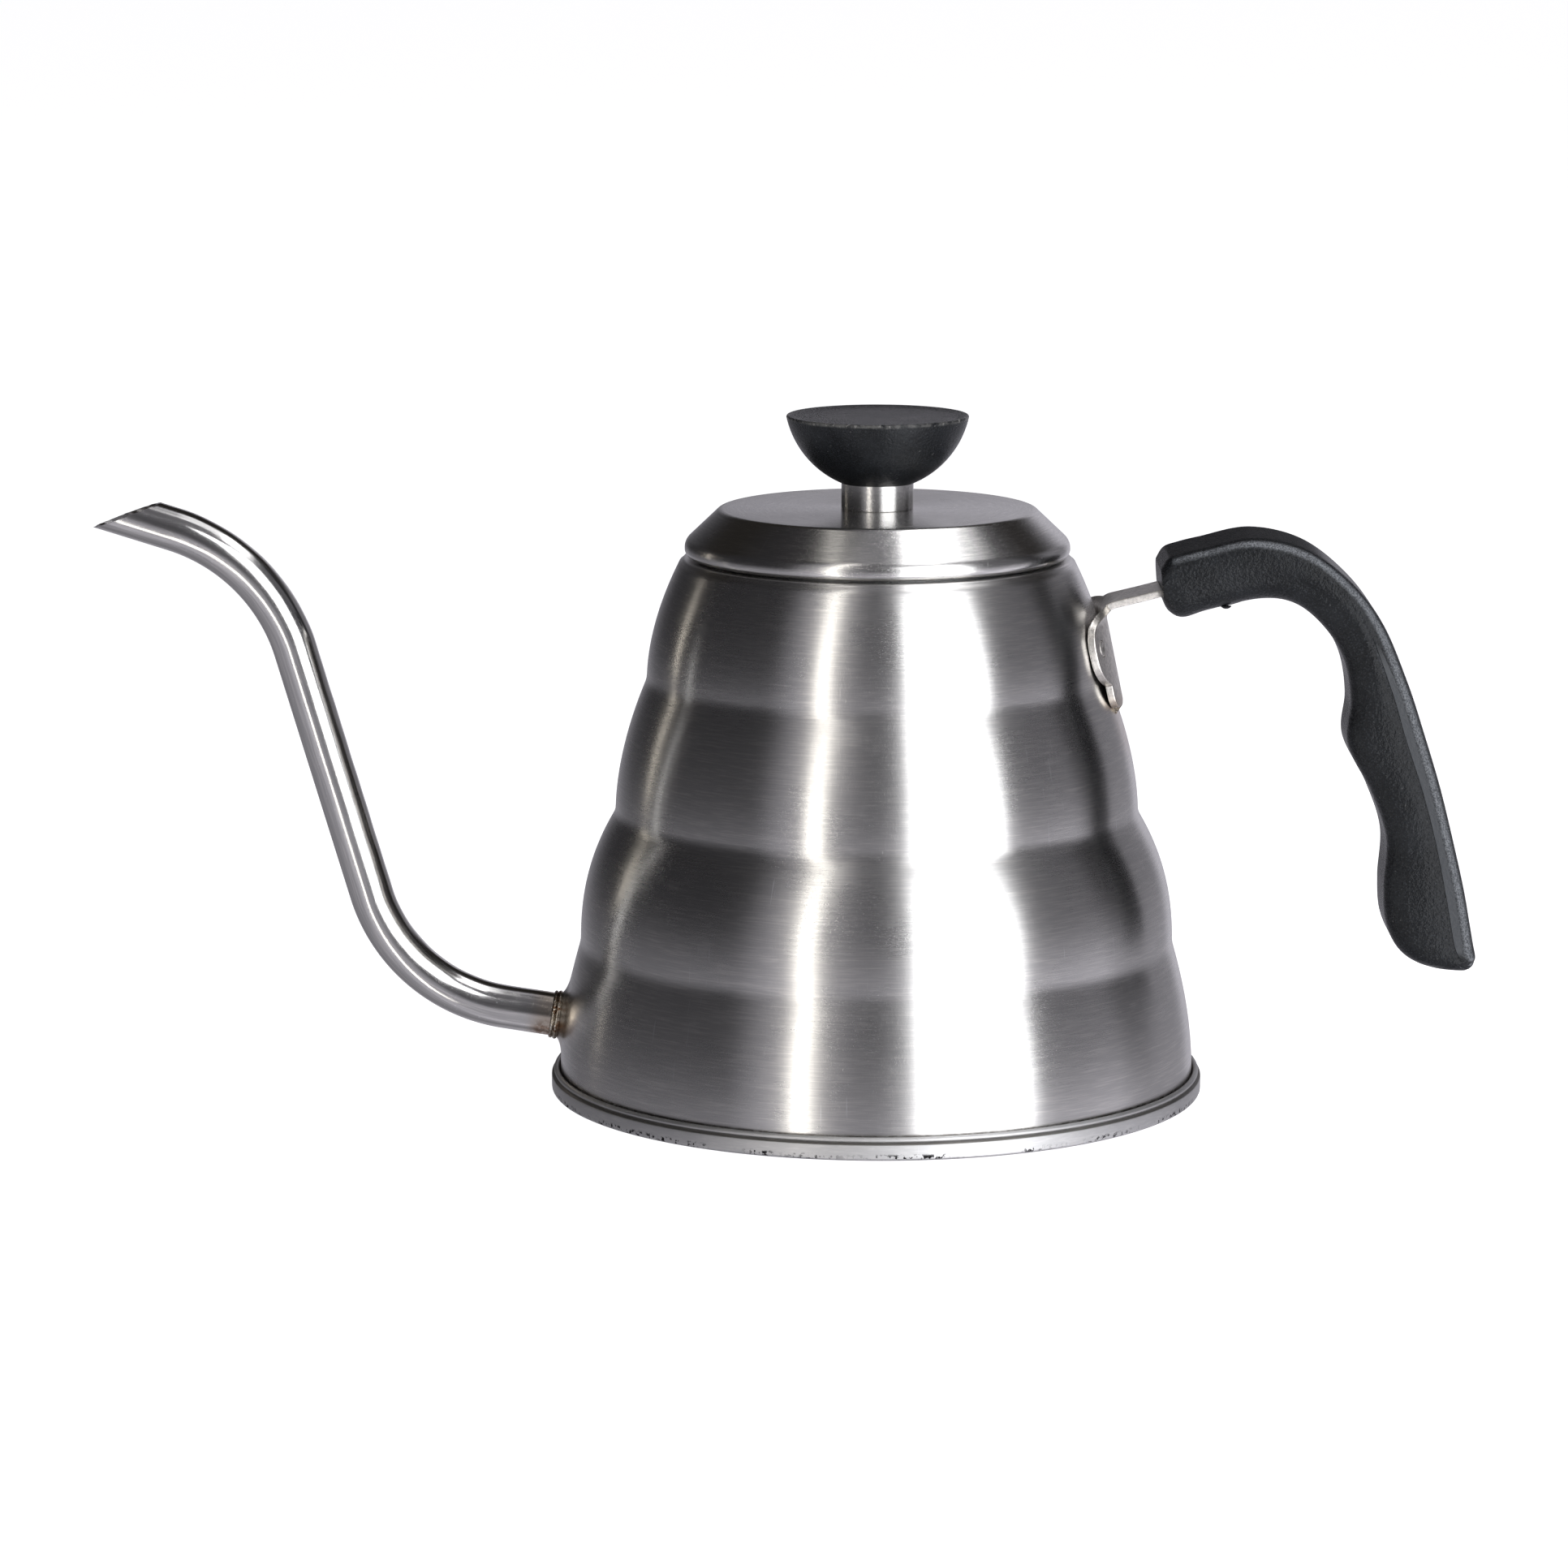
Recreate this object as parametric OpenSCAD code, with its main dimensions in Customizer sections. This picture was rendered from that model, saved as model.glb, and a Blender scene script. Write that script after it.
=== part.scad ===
// Stovetop gooseneck kettle for pour-over coffee.
// A drawn steel vessel with four stacked tiers stands on a flat base pan. A bent tube spout
// is welded to its foot, a moulded grip sits on a steel bracket welded to its shoulder, and
// a lift-off lid with a knob closes its mouth.
// Millimetres, Z up. The base stands on Z = 0 with its centre at the origin, the spout
// points along -X and the grip along +X.

/* [Vessel] */
// Radius of the base ring
base_r = 72; // [72:0.5:76]
// Thickness of the base pan
pan_t = 1; // [0.8:0.1:1.2]
// Height of the rim that the base pan curls round the foot
rim_h = 5.4; // [5:0.1:6]
// Thickness of the vessel's sheet steel
sheet_t = 0.6; // [0.5:0.1:0.8]
// Radius of the vessel at its foot
foot_r = 70; // [69:0.5:70]
// Radius at the lowest crease between two tiers
low_crease_r = 65.4; // [64:0.1:67]
// Height of the lowest crease
low_crease_z = 33; // [30:1:36]
// Radius at the middle crease
mid_crease_r = 57.6; // [56:0.1:59]
// Height of the middle crease
mid_crease_z = 62; // [59:1:65]
// Radius at the highest crease
high_crease_r = 50.6; // [50:0.1:51]
// Height of the highest crease
high_crease_z = 91.5; // [90:0.5:93]
// Radius of the shoulder round the mouth
shoulder_r = 42.9; // [42.5:0.1:43.5]
// Height of the ledge that carries the lid
ledge_z = 118.4; // [118:0.1:118.5]
// Inner radius of the neck
neck_r = 39.2; // [39:0.1:39.3]
// How far the neck is turned down into the vessel
neck_h = 6; // [4:0.5:8]

/* [Spout] */
// Outer diameter of the spout tube
spout_d = 9.6; // [9:0.1:10]
// Wall thickness of the spout tube
spout_wall = 0.6; // [0.5:0.1:0.8]
// Distance from the vessel's axis to the end of the collar that the tube is welded to
collar_x = 71.2; // [71:0.1:72]
// Distance from the vessel's axis to the lower knee, where the two straight runs would meet
knee_x = 105.2; // [102:0.1:108]
// Height of the lower knee
knee_z = 21.3; // [20:0.1:23]
// Angle of the root run above horizontal
root_rise = 9; // [6:0.5:12]
// Lean of the long straight run away from vertical
riser_lean = 16.4; // [14:0.1:18]
// Length of the long straight run from knee to knee
riser_l = 100.9; // [96:0.1:104]
// Angle of the tip run above horizontal
tip_rise = 17.5; // [15:0.5:20]
// Radius of the lower bend
low_bend_r = 36.5; // [32:0.5:40]
// Radius of the upper bend
high_bend_r = 40; // [36:0.5:42]
// Distance from the vessel's axis to the point of the lip
lip_x = 171.5; // [168:0.5:174]
// Angle of the cut across the tip, above horizontal
lip_cut = 20; // [16:1:24]

/* [Handle bracket] */
// Thickness of the bracket's strip
strip_t = 1.6; // [1.5:0.1:2]
// Width of the strap that goes into the grip
strap_w = 14; // [13:0.5:15]
// Angle of the strap above horizontal
strap_rise = 14.5; // [13:0.5:16]
// Half width of the plate that wraps round the vessel
plate_half_w = 20.2; // [19.8:0.1:20.6]
// Half width of the tab below the plate
tab_half_w = 14.4; // [14:0.1:15]
// Height of the tab's lower end
tab_z = 86.8; // [86.5:0.1:88]

/* [Grip] */
// Width of the grip across the hand
grip_w = 25; // [23:0.5:27]
// Corner radius along the back of the grip
back_round = 3.4; // [2:0.1:4]
// Corner radius along the finger side of the grip
finger_round = 4.6; // [3:0.1:5]

/* [Lid] */
// Height of the lid's flat top
lid_z = 129.2; // [128.8:0.1:130]
// Radius of the lid's flat top
lid_top_r = 33.9; // [33:0.1:34.5]
// Radius of the lid's rim
lid_r = 42.2; // [41.8:0.1:42.6]
// Thickness of the lid's sheet steel
lid_t = 0.7; // [0.6:0.1:0.8]
// Outer radius of the skirt that goes down into the neck
skirt_r = 38.7; // [38:0.1:38.7]
// Height of the skirt's lower edge
skirt_z = 109.5; // [107:0.5:112]

/* [Knob] */
// Radius of the sphere that the knob is cut from
knob_sphere_r = 20.4; // [19:0.1:22]
// Height of the knob's flat top
knob_z = 149.7; // [148:0.1:151]
// Height of the centre of the knob's sphere
knob_centre_z = 153.6; // [153:0.1:154]
// Outer radius of the ferrule under the knob
ferrule_r = 7.9; // [7.5:0.1:8.5]
// Height of the ferrule
ferrule_h = 5.8; // [5:0.1:6]

/* [Hidden] */

$fn = 96;
steel = [0.72, 0.71, 0.70];
dull_steel = [0.58, 0.58, 0.62];
black = [0.09, 0.09, 0.10];
brass = [0.78, 0.62, 0.30];
weld_tint = [0.50, 0.40, 0.30];

// Cutting bodies reach this far past the solid that they cut
cut = 1;
// Gap between two pieces of one body that touch
touch = 0.05;
// Radial running clearance between the knob and the pieces that it turns on
run = 0.08;

// ---- Curves ----

// Points of an arc in the r-z plane, about centre c, from angle a0 to angle a1
function arc(c, r, a0, a1, n = 8) =
    [for (i = [0 : n]) let (a = a0 + (a1 - a0) * i / n) c + r * [cos(a), sin(a)]];

// A point on the smooth curve through four neighbouring points, between the middle two
function through(p0, p1, p2, p3, t) =
    0.5 * ((2 * p1) + (p2 - p0) * t
        + (2 * p0 - 5 * p1 + 4 * p2 - p3) * t * t
        + (3 * p1 - p0 - 3 * p2 + p3) * t * t * t);

// A point at s, from 0 to 1, along the smooth curve through all the points of a list
function along(points, s) =
    let (last = len(points) - 1,
         k = min(floor(s * last), last - 1),
         t = s * last - k)
    through(points[max(k - 1, 0)], points[k], points[k + 1], points[min(k + 2, last)], t);

// ---- Vessel ----

foot_z = rim_h;
// Lower end and upper end of each tier as [radius, height], and how full the tier bulges
tiers = [
    [[foot_r, foot_z], [low_crease_r, low_crease_z], 1.8],
    [[low_crease_r, low_crease_z], [mid_crease_r, mid_crease_z], 2.3],
    [[mid_crease_r, mid_crease_z], [high_crease_r, high_crease_z], 1.8],
    [[high_crease_r, high_crease_z], [shoulder_r, ledge_z], 1.8]
];

function tier_r(t, z) =
    let (low = t[0], high = t[1], up = (z - low.y) / (high.y - low.y))
    high.x + (low.x - high.x) * (1 - pow(max(up, 0), t[2]));

function wall_r(z) =
    z < low_crease_z ? tier_r(tiers[0], z)
    : z < mid_crease_z ? tier_r(tiers[1], z)
    : z < high_crease_z ? tier_r(tiers[2], z)
    : tier_r(tiers[3], min(z, ledge_z));

// The sheet can't follow a sharp crease, so each one is eased over this height
ease = 1.3;
function eased_r(z) = (wall_r(z - ease) + 2 * wall_r(z) + wall_r(z + ease)) / 4;

wall_steps = 52;
shoulder_round = 0.9;
function wall_side(inset) =
    [for (i = [0 : wall_steps])
        let (z = foot_z + (ledge_z - shoulder_round - foot_z) * i / wall_steps)
        [eased_r(z) - inset, z]];

flange_r = base_r - 0.8;
vessel_outside = concat(
    [[0, pan_t], [flange_r, pan_t], [flange_r, pan_t + sheet_t], [foot_r, pan_t + sheet_t]],
    wall_side(0),
    [[shoulder_r - shoulder_round, ledge_z], [0, ledge_z]]
);
vessel_inside = concat(
    [[0, pan_t - cut], [foot_r - sheet_t, pan_t - cut]],
    wall_side(sheet_t),
    [[shoulder_r - shoulder_round - sheet_t / 2, ledge_z - sheet_t], [0, ledge_z - sheet_t]]
);

// ---- Spout route, as [x, z] points in the plane Y = 0 ----

spout_r = spout_d / 2;
bore_r = spout_r - spout_wall;
root_dir = [-cos(root_rise), sin(root_rise)];
riser_dir = [-sin(riser_lean), cos(riser_lean)];
tip_dir = [-cos(tip_rise), sin(tip_rise)];
low_knee = [-knee_x, knee_z];
high_knee = low_knee + riser_l * riser_dir;
low_sweep = 90 - root_rise - riser_lean;
high_sweep = 90 - tip_rise - riser_lean;
low_trim = low_bend_r * tan(low_sweep / 2);
high_trim = high_bend_r * tan(high_sweep / 2);
root_end = low_knee - low_trim * root_dir;
riser_start = low_knee + low_trim * riser_dir;
riser_end = high_knee - high_trim * riser_dir;
tip_start = high_knee + high_trim * tip_dir;
// Length of the tip run before it is cut
tip_stock_l = 30;
low_centre = riser_start + low_bend_r * [cos(riser_lean), sin(riser_lean)];
high_centre = riser_end - high_bend_r * [cos(riser_lean), sin(riser_lean)];
collar_end = low_knee + root_dir * (collar_x - knee_x) / cos(root_rise);
// Where the lip comes to its point: on the underside of the tip run
tip_under = tip_start - spout_r * [sin(tip_rise), cos(tip_rise)];
lip_point = tip_under + tip_dir * (lip_x + tip_under.x) / cos(tip_rise);

// The tube's wall is this much thinner on each face in its bends
bend_thinning = 0.05;
// Each straight run goes this far into the bend at its end
lap = 0.4;

// A straight length of the spout's tube from a to b
module straight_tube(a, b) {
    d = b - a;
    translate([a.x, 0, a.y]) rotate([0, atan2(d.x, d.y), 0]) linear_extrude(norm(d))
        difference() {
            circle(r = spout_r);
            circle(r = bore_r);
        }
}

// A bend in the spout's tube about a centre in the plane Y = 0
module bent_tube(c, bend_r, from, sweep) {
    translate([c.x, 0, c.y]) rotate([90, 0, 0]) rotate([0, 0, from])
        rotate_extrude(angle = sweep) translate([bend_r, 0]) difference() {
            circle(r = spout_r - bend_thinning);
            circle(r = bore_r + bend_thinning);
        }
}

// Puts a shape that points along +Z on the root run, at the end of the collar
module on_root_axis() {
    translate([collar_end.x, 0, collar_end.y]) rotate([0, root_rise - 90, 0]) children();
}

// ---- Bracket route, in the plane Y = 0 ----

plate_lean = 11.6;
// Outer radius of the plate at the tab's lower end, which rests on the tier below the crease
plate_bottom_r = eased_r(tab_z) + touch + strip_t;
// Outer radius of the conical plate at a height
function plate_r(z) = plate_bottom_r - (z - tab_z) * tan(plate_lean);
bend_start_z = 104.8;
bend_mid_r = 3.4;
bend_start = [plate_r(bend_start_z) - strip_t / 2, bend_start_z];
plate_normal = [cos(plate_lean), sin(plate_lean)];
bend_centre = bend_start + bend_mid_r * plate_normal;
strap_dir = [cos(strap_rise), sin(strap_rise)];
strap_up = [-sin(strap_rise), cos(strap_rise)];
strap_start = bend_centre + bend_mid_r * strap_up;
strap_l = 34;
// Screw that holds the grip: distance along the strap from the end of its bend
screw_at = 24.5;
screw_point = strap_start + screw_at * strap_dir;

// Puts a shape that points along +Z on the grip screw's axis, at the strap's mid plane
module on_screw_axis() {
    translate([screw_point.x, 0, screw_point.y]) rotate([0, -strap_rise, 0]) children();
}

plug_r = 1.8;
plug_z = 100.2;
plug_turn = 18.4;
// Puts a shape on each plug weld's axis, pointing outwards from the vessel's wall
module on_plug_welds() {
    for (side = [-1, 1])
        rotate([0, 0, side * plug_turn]) translate([wall_r(plug_z), 0, plug_z])
            rotate([0, 90 - plate_lean, 0]) children();
}

// ---- Grip rails, as [x, z] points in the plane Y = 0 ----

back_rail = [
    [61.5, 116.8], [63.2, 119.4], [66.5, 120.6], [71, 121.7], [82, 123.9], [93.5, 121.3],
    [103.2, 114], [110.3, 104.6], [115.9, 91.7], [119.6, 80.8], [123.4, 68.6], [126.4, 57],
    [129, 46], [130.4, 38.6], [131.3, 33.6], [131.7, 30.6], [130.9, 28.9]
];
finger_rail = [
    [61.9, 110.4], [63.4, 107.6], [66.6, 106.2], [72.4, 107.9], [83.6, 110.3], [91.2, 109.1],
    [97.6, 103.8], [101.9, 96.6], [103.5, 87.5], [103, 78], [108.3, 67.4], [111.8, 57],
    [111.4, 46], [112.1, 38], [115.4, 31.8], [121.4, 28.5], [129.6, 27.8]
];
grip_stations = 56;
// The grip narrows over its first and last lengths, as shares of its whole length
nose_narrow = 1.6;
nose_share = 0.04;
heel_narrow = 3;
heel_share = 0.1;
corner_steps = 4;

// Quarter round: 0 at t = 0 and below, 1 at t = 1
function rounding(t) = 1 - sqrt(1 - pow(max(t, 0), 2));
// Width of the grip at a share s of its length
function grip_w_at(s) = grip_w - 2 * nose_narrow * rounding(1 - s / nose_share)
    - 2 * heel_narrow * rounding(1 - (1 - s) / heel_share);

// Half outline of the grip's section: across the thickness h, for y from the middle out
function section(h, w) =
    let (a = min(back_round, h * 0.45), b = min(finger_round, h * 0.45), half = w / 2)
    concat(
        arc([h - a, half - a], a, 0, 90, corner_steps),
        arc([b, half - b], b, 90, 180, corner_steps)
    );

function ring(s) =
    let (p = along(finger_rail, s),
         q = along(back_rail, s),
         h = norm(q - p),
         up = (q - p) / h,
         half = section(h, grip_w_at(s)),
         mirrored = [for (i = [len(half) - 1 : -1 : 0]) [half[i].x, -half[i].y]])
    [for (v = concat(half, mirrored)) [p.x + up.x * v.x, v.y, p.y + up.y * v.x]];

// A closed solid through a list of rings that have the same number of points
module loft(rings) {
    m = len(rings[0]);
    last = len(rings) - 1;
    sides = [for (k = [0 : last - 1], i = [0 : m - 1], half = [0, 1])
        let (a = k * m + i, b = k * m + (i + 1) % m)
        half == 0 ? [a, b, b + m] : [a, b + m, a + m]];
    near_end = [[for (i = [m - 1 : -1 : 0]) i]];
    far_end = [[for (i = [0 : m - 1]) last * m + i]];
    polyhedron([for (r = rings, p = r) p], concat(sides, near_end, far_end));
}

// ---- Screws ----

module cross_recess(reach, deep) {
    for (turn = [0, 90]) rotate([0, 0, turn])
        translate([-reach, -0.5, -cut]) cube([2 * reach, 1, cut + deep]);
}

// Pan head screw along +Z, with the underside of its head at Z = 0
module pan_screw(shank_r, shank_l, head_r, head_h) {
    difference() {
        rotate_extrude() polygon(concat(
            [[0, -head_h], [head_r * 0.7, -head_h]],
            [[head_r, -head_h * 0.55], [head_r, 0], [shank_r, 0]],
            [[shank_r, shank_l - 0.6], [shank_r - 0.6, shank_l], [0, shank_l]]
        ));
        translate([0, 0, -head_h]) cross_recess(head_r * 0.55, head_h * 0.5);
    }
}

grip_screw_r = 2;
grip_head_r = 3.4;
grip_head_h = 2.2;
grip_screw_l = 8;
pocket_r = grip_head_r + 0.4;
// The lid screw and the stack that it clamps
lid_screw_r = 2;
washer_t = 1;
washer_r = 6;
lid_screw_head_r = 3.6;
lid_screw_l = 14;
ferrule_wall = 0.8;
insert_r = 4;
insert_l = 9;
seat_z = lid_z + ferrule_h;

// ---- Lid outline ----

bevel_angle = 46;
crown_round = 1.8;
rim_round = 3;
lip_round = 1.6;
rim_z = ledge_z + 0.4 + lip_round;
// The lid's section from the middle of its top to the edge of its lip, set in by some depth
function lid_side(inset) = concat(
    [[0, lid_z - inset]],
    arc([lid_top_r, lid_z - crown_round], crown_round - inset, 90, bevel_angle, 4),
    arc([lid_r - rim_round, rim_z + 0.3], rim_round - inset, bevel_angle, 0, 6),
    arc([lid_r - lip_round, rim_z], lip_round - inset, 0, -90, 6)
);
lid_flange_r = lid_r - lip_round - 1;

// ---- The pieces ----

// Drawn sheet vessel: foot flange, four tiers, ledge, turned-in neck and spout collar
module body_shell() {
    collar_round = 2.4;
    color(steel) {
        difference() {
            union() {
                rotate_extrude() polygon(vessel_outside);
                on_root_axis() rotate_extrude() polygon(concat(
                    [[0, 0], [spout_r, 0]],
                    arc([spout_r + collar_round, -collar_round], collar_round, 180, 270, 4),
                    [[spout_r + collar_round, -6], [0, -6]]
                ));
            }
            rotate_extrude() polygon(vessel_inside);
            translate([0, 0, ledge_z - cut]) cylinder(h = 2 * cut, r = neck_r);
            on_root_axis() translate([0, 0, -12]) cylinder(h = 12 + cut, r = bore_r);
        }
        difference() {
            translate([0, 0, ledge_z - neck_h]) cylinder(h = neck_h, r = neck_r + sheet_t);
            translate([0, 0, ledge_z - neck_h - cut]) cylinder(h = neck_h + 2 * cut, r = neck_r);
        }
    }
}

// Bottom of the vessel, with its edge folded up and curled round the foot flange
module base_pan() {
    edge_round = 0.6;
    shoulder_h = 1.6;
    inner_r = foot_r + touch;
    color(dull_steel) rotate_extrude() polygon(concat(
        [[0, 0]],
        arc([base_r - edge_round, edge_round], edge_round, -90, 0, 4),
        arc([base_r - shoulder_h, rim_h - shoulder_h], shoulder_h, 0, 80, 6),
        [[inner_r, rim_h - 0.4]],
        [[inner_r, pan_t + sheet_t + touch], [flange_r + touch, pan_t + sheet_t + touch]],
        [[flange_r + touch, pan_t], [0, pan_t]]
    ));
}

// Bent tube: root run, lower bend, long straight run, upper bend and cut tip
module spout_tube() {
    color(steel) {
        straight_tube(collar_end, root_end + lap * root_dir);
        bent_tube(low_centre, low_bend_r, 180 + riser_lean, low_sweep);
        straight_tube(riser_start - lap * riser_dir, riser_end + lap * riser_dir);
        bent_tube(high_centre, high_bend_r, riser_lean, high_sweep);
        difference() {
            straight_tube(tip_start - lap * tip_dir, tip_start + tip_stock_l * tip_dir);
            translate([lip_point.x, 0, lip_point.y]) rotate([0, -lip_cut, 0])
                translate([-60, -30, 0]) cube([120, 60, 60]);
        }
    }
}

// Bead that joins the tube to the vessel's collar
module spout_weld() {
    bead_r = 0.7;
    color(weld_tint) on_root_axis() rotate_extrude()
        translate([spout_r + touch, 0]) intersection() {
            circle(r = bead_r);
            translate([0, -bead_r]) square([bead_r, 2 * bead_r]);
        }
}

// A step along a rounded rectangle's outline, from the cosine or sine of its angle
function bulged(v, squareness) = sign(v) * pow(abs(v), 2 / squareness);

// Steel strip: a conical plate that wraps the vessel, a tab, a bend and the strap. The plate
// keeps its curve through the bend, where it narrows to the strap
module handle_bracket() {
    plate_mid_z = 99.5;
    plate_half_h = 8.8;
    squareness = 2.8;
    tab_round = 3;
    oval = [for (a = [0 : 7.5 : 352.5])
        [plate_half_w * bulged(cos(a), squareness),
         plate_mid_z + plate_half_h * bulged(sin(a), squareness)]];
    tab = concat(
        arc([-tab_half_w + tab_round, tab_z + tab_round], tab_round, 180, 270, 4),
        arc([tab_half_w - tab_round, tab_z + tab_round], tab_round, 270, 360, 4),
        [[tab_half_w, plate_mid_z], [-tab_half_w, plate_mid_z]]
    );
    half_t = strip_t / 2;
    top_a = 90 + strap_rise;
    start_a = 180 + plate_lean;
    mid_a = (top_a + start_a) / 2;
    strap_tip = strap_start + strap_l * strap_dir;
    color(steel) difference() {
        union() {
            intersection() {
                rotate_extrude() polygon(concat(
                    [[plate_r(80) - strip_t, 80], [plate_r(80), 80]],
                    arc(bend_centre, bend_mid_r - half_t, start_a, top_a, 10),
                    arc(bend_centre, bend_mid_r + half_t, top_a, start_a, 10)
                ));
                rotate([90, 0, 90]) linear_extrude(80) union() {
                    polygon(oval);
                    polygon(tab);
                }
            }
            translate([0, strap_w / 2, 0]) rotate([90, 0, 0]) linear_extrude(strap_w)
                polygon(concat(
                    arc(bend_centre, bend_mid_r + half_t, mid_a, top_a, 5),
                    [strap_tip + half_t * strap_up, strap_tip - half_t * strap_up],
                    arc(bend_centre, bend_mid_r - half_t, top_a, mid_a, 5)
                ));
        }
        on_screw_axis() translate([0, 0, -5]) cylinder(h = 10, r = grip_screw_r + 0.2);
        on_plug_welds() translate([0, 0, -cut]) cylinder(h = 5, r = plug_r);
    }
}

// Two plug welds that fill the holes in the bracket's plate
module bracket_plug_welds() {
    proud = 0.15;
    plate_face = (plate_r(plug_z) - wall_r(plug_z)) * cos(plate_lean);
    color(weld_tint) on_plug_welds()
        translate([0, 0, touch]) cylinder(h = plate_face + proud - touch, r = plug_r - 0.01);
}

// Fillet weld along the lower end of the bracket's tab
module tab_weld() {
    half_turn = 11;
    leg = 1.5;
    top_z = tab_z - touch;
    color(weld_tint) rotate([0, 0, -half_turn]) rotate_extrude(angle = 2 * half_turn)
        polygon([
            [eased_r(top_z) + touch, top_z], [plate_r(tab_z) - 0.1, top_z],
            [eased_r(top_z - leg) + touch, top_z - leg]
        ]);
}

// Moulded grip with two finger swells, a slot for the strap and a pocket for the screw
module grip() {
    slot_gap = 0.1;
    rim_ring_r = pocket_r + 0.9;
    color(black) difference() {
        union() {
            loft([for (k = [0 : grip_stations]) ring(k / grip_stations)]);
            on_screw_axis() translate([0, 0, -6.6]) cylinder(h = 4, r = rim_ring_r);
        }
        translate([strap_start.x, 0, strap_start.y]) rotate([0, -strap_rise, 0])
            translate([0, -strap_w / 2 - slot_gap, -strip_t / 2 - slot_gap])
                cube([strap_l + slot_gap, strap_w + 2 * slot_gap, strip_t + 2 * slot_gap]);
        on_screw_axis() translate([0, 0, -12])
            cylinder(h = 12 - strip_t / 2 - 1.2, r = pocket_r);
        on_screw_axis() translate([0, 0, -6]) cylinder(h = 12, r = grip_screw_r + touch);
    }
}

// Pan head screw that goes up through the strap into the grip
module grip_screw() {
    color(steel) on_screw_axis() translate([0, 0, -strip_t / 2 - 1.2 - touch])
        pan_screw(grip_screw_r, grip_screw_l, grip_head_r, grip_head_h);
}

// Pressed lid: flat top, bevel, rolled rim and a lip turned in at its lower edge
module lid_cap() {
    outer = lid_side(0);
    inner = lid_side(lid_t);
    color(steel) difference() {
        rotate_extrude() polygon(concat(
            outer,
            [[lid_flange_r, rim_z - lip_round], [lid_flange_r, rim_z - lip_round + lid_t]],
            [for (i = [len(inner) - 1 : -1 : 0]) inner[i]]
        ));
        translate([0, 0, lid_z - 3]) cylinder(h = 6, r = lid_screw_r + 0.3);
    }
}

// Band that locates the lid in the neck, with its upper edge flared against the bevel
module lid_skirt() {
    flare_l = 4;
    // The flare lies this far below the bevel's outer face, measured square to it
    below = lid_t + touch;
    crown_c = [lid_top_r, lid_z - crown_round];
    rim_c = [lid_r - rim_round, rim_z + 0.3];
    normal = [cos(bevel_angle), sin(bevel_angle)];
    high = crown_c + (crown_round - below) * normal;
    low = rim_c + (rim_round - below) * normal;
    slope = (low - high) / norm(low - high);
    square_in = [slope.y, -slope.x];
    reach = (skirt_r - high.x) / slope.x;
    knee = high + reach * slope;
    tip = knee - flare_l * slope;
    color(steel) rotate_extrude() polygon([
        [skirt_r, skirt_z], knee, tip, tip + sheet_t * square_in,
        [skirt_r - sheet_t, knee.y - sheet_t * 0.6], [skirt_r - sheet_t, skirt_z]
    ]);
}

// Steel sleeve between the lid and the knob
module knob_ferrule() {
    color(steel) difference() {
        translate([0, 0, lid_z]) cylinder(h = ferrule_h - touch, r = ferrule_r);
        translate([0, 0, lid_z - cut])
            cylinder(h = ferrule_h + 2 * cut, r = ferrule_r - ferrule_wall);
    }
}

// Flat washer under the lid
module lid_washer() {
    color(steel) difference() {
        translate([0, 0, lid_z - lid_t - washer_t]) cylinder(h = washer_t, r = washer_r);
        translate([0, 0, lid_z - lid_t - washer_t - cut])
            cylinder(h = washer_t + 2 * cut, r = lid_screw_r + 0.2);
    }
}

// Screw that comes up through the lid and holds the knob
module lid_screw() {
    color(steel) translate([0, 0, lid_z - lid_t - washer_t])
        pan_screw(lid_screw_r, lid_screw_l, lid_screw_head_r, 2.4);
}

// Bowl-shaped knob with a dished top and a boss that stands in the ferrule
module knob() {
    rim_top_r = sqrt(pow(knob_sphere_r, 2) - pow(knob_centre_z - knob_z, 2));
    edge = 0.5;
    dish = 0.4;
    boss_r = ferrule_r - ferrule_wall - run;
    seat_r = ferrule_r + 0.2;
    seat_a = acos(seat_r / knob_sphere_r);
    rim_a = asin((knob_centre_z - knob_z + edge) / knob_sphere_r);
    color(black) difference() {
        rotate_extrude() polygon(concat(
            [[0, lid_z + 0.4], [boss_r, lid_z + 0.4], [boss_r, seat_z + run]],
            [[seat_r - 0.4, seat_z + run]],
            arc([0, knob_centre_z], knob_sphere_r, -seat_a, -rim_a, 14),
            [[rim_top_r - edge, knob_z], [rim_top_r - 2, knob_z - dish], [0, knob_z - dish]]
        ));
        translate([0, 0, lid_z]) cylinder(h = 0.4 + insert_l + 5, r = lid_screw_r + 0.3);
        translate([0, 0, lid_z]) cylinder(h = 1.4 + insert_l, r = insert_r + 0.02);
    }
}

// Threaded insert moulded into the knob's boss
module knob_insert() {
    color(brass) difference() {
        translate([0, 0, lid_z + 1.4 - touch]) cylinder(h = insert_l, r = insert_r);
        translate([0, 0, lid_z]) cylinder(h = insert_l + 4, r = lid_screw_r + touch);
    }
}

body_shell();
base_pan();
spout_tube();
spout_weld();
handle_bracket();
bracket_plug_welds();
tab_weld();
grip();
grip_screw();
lid_cap();
lid_skirt();
knob_ferrule();
lid_washer();
lid_screw();
knob();
knob_insert();
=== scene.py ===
"""Looks of a stovetop gooseneck kettle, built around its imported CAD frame.

Lengths in the shape functions are millimetres in the frame's own axes: Z up, spout along -X,
grip along +X. outward_mesh() turns them into metres.
"""

import math

import bmesh
import bpy
import numpy as np
from mathutils import Matrix, Vector


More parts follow.
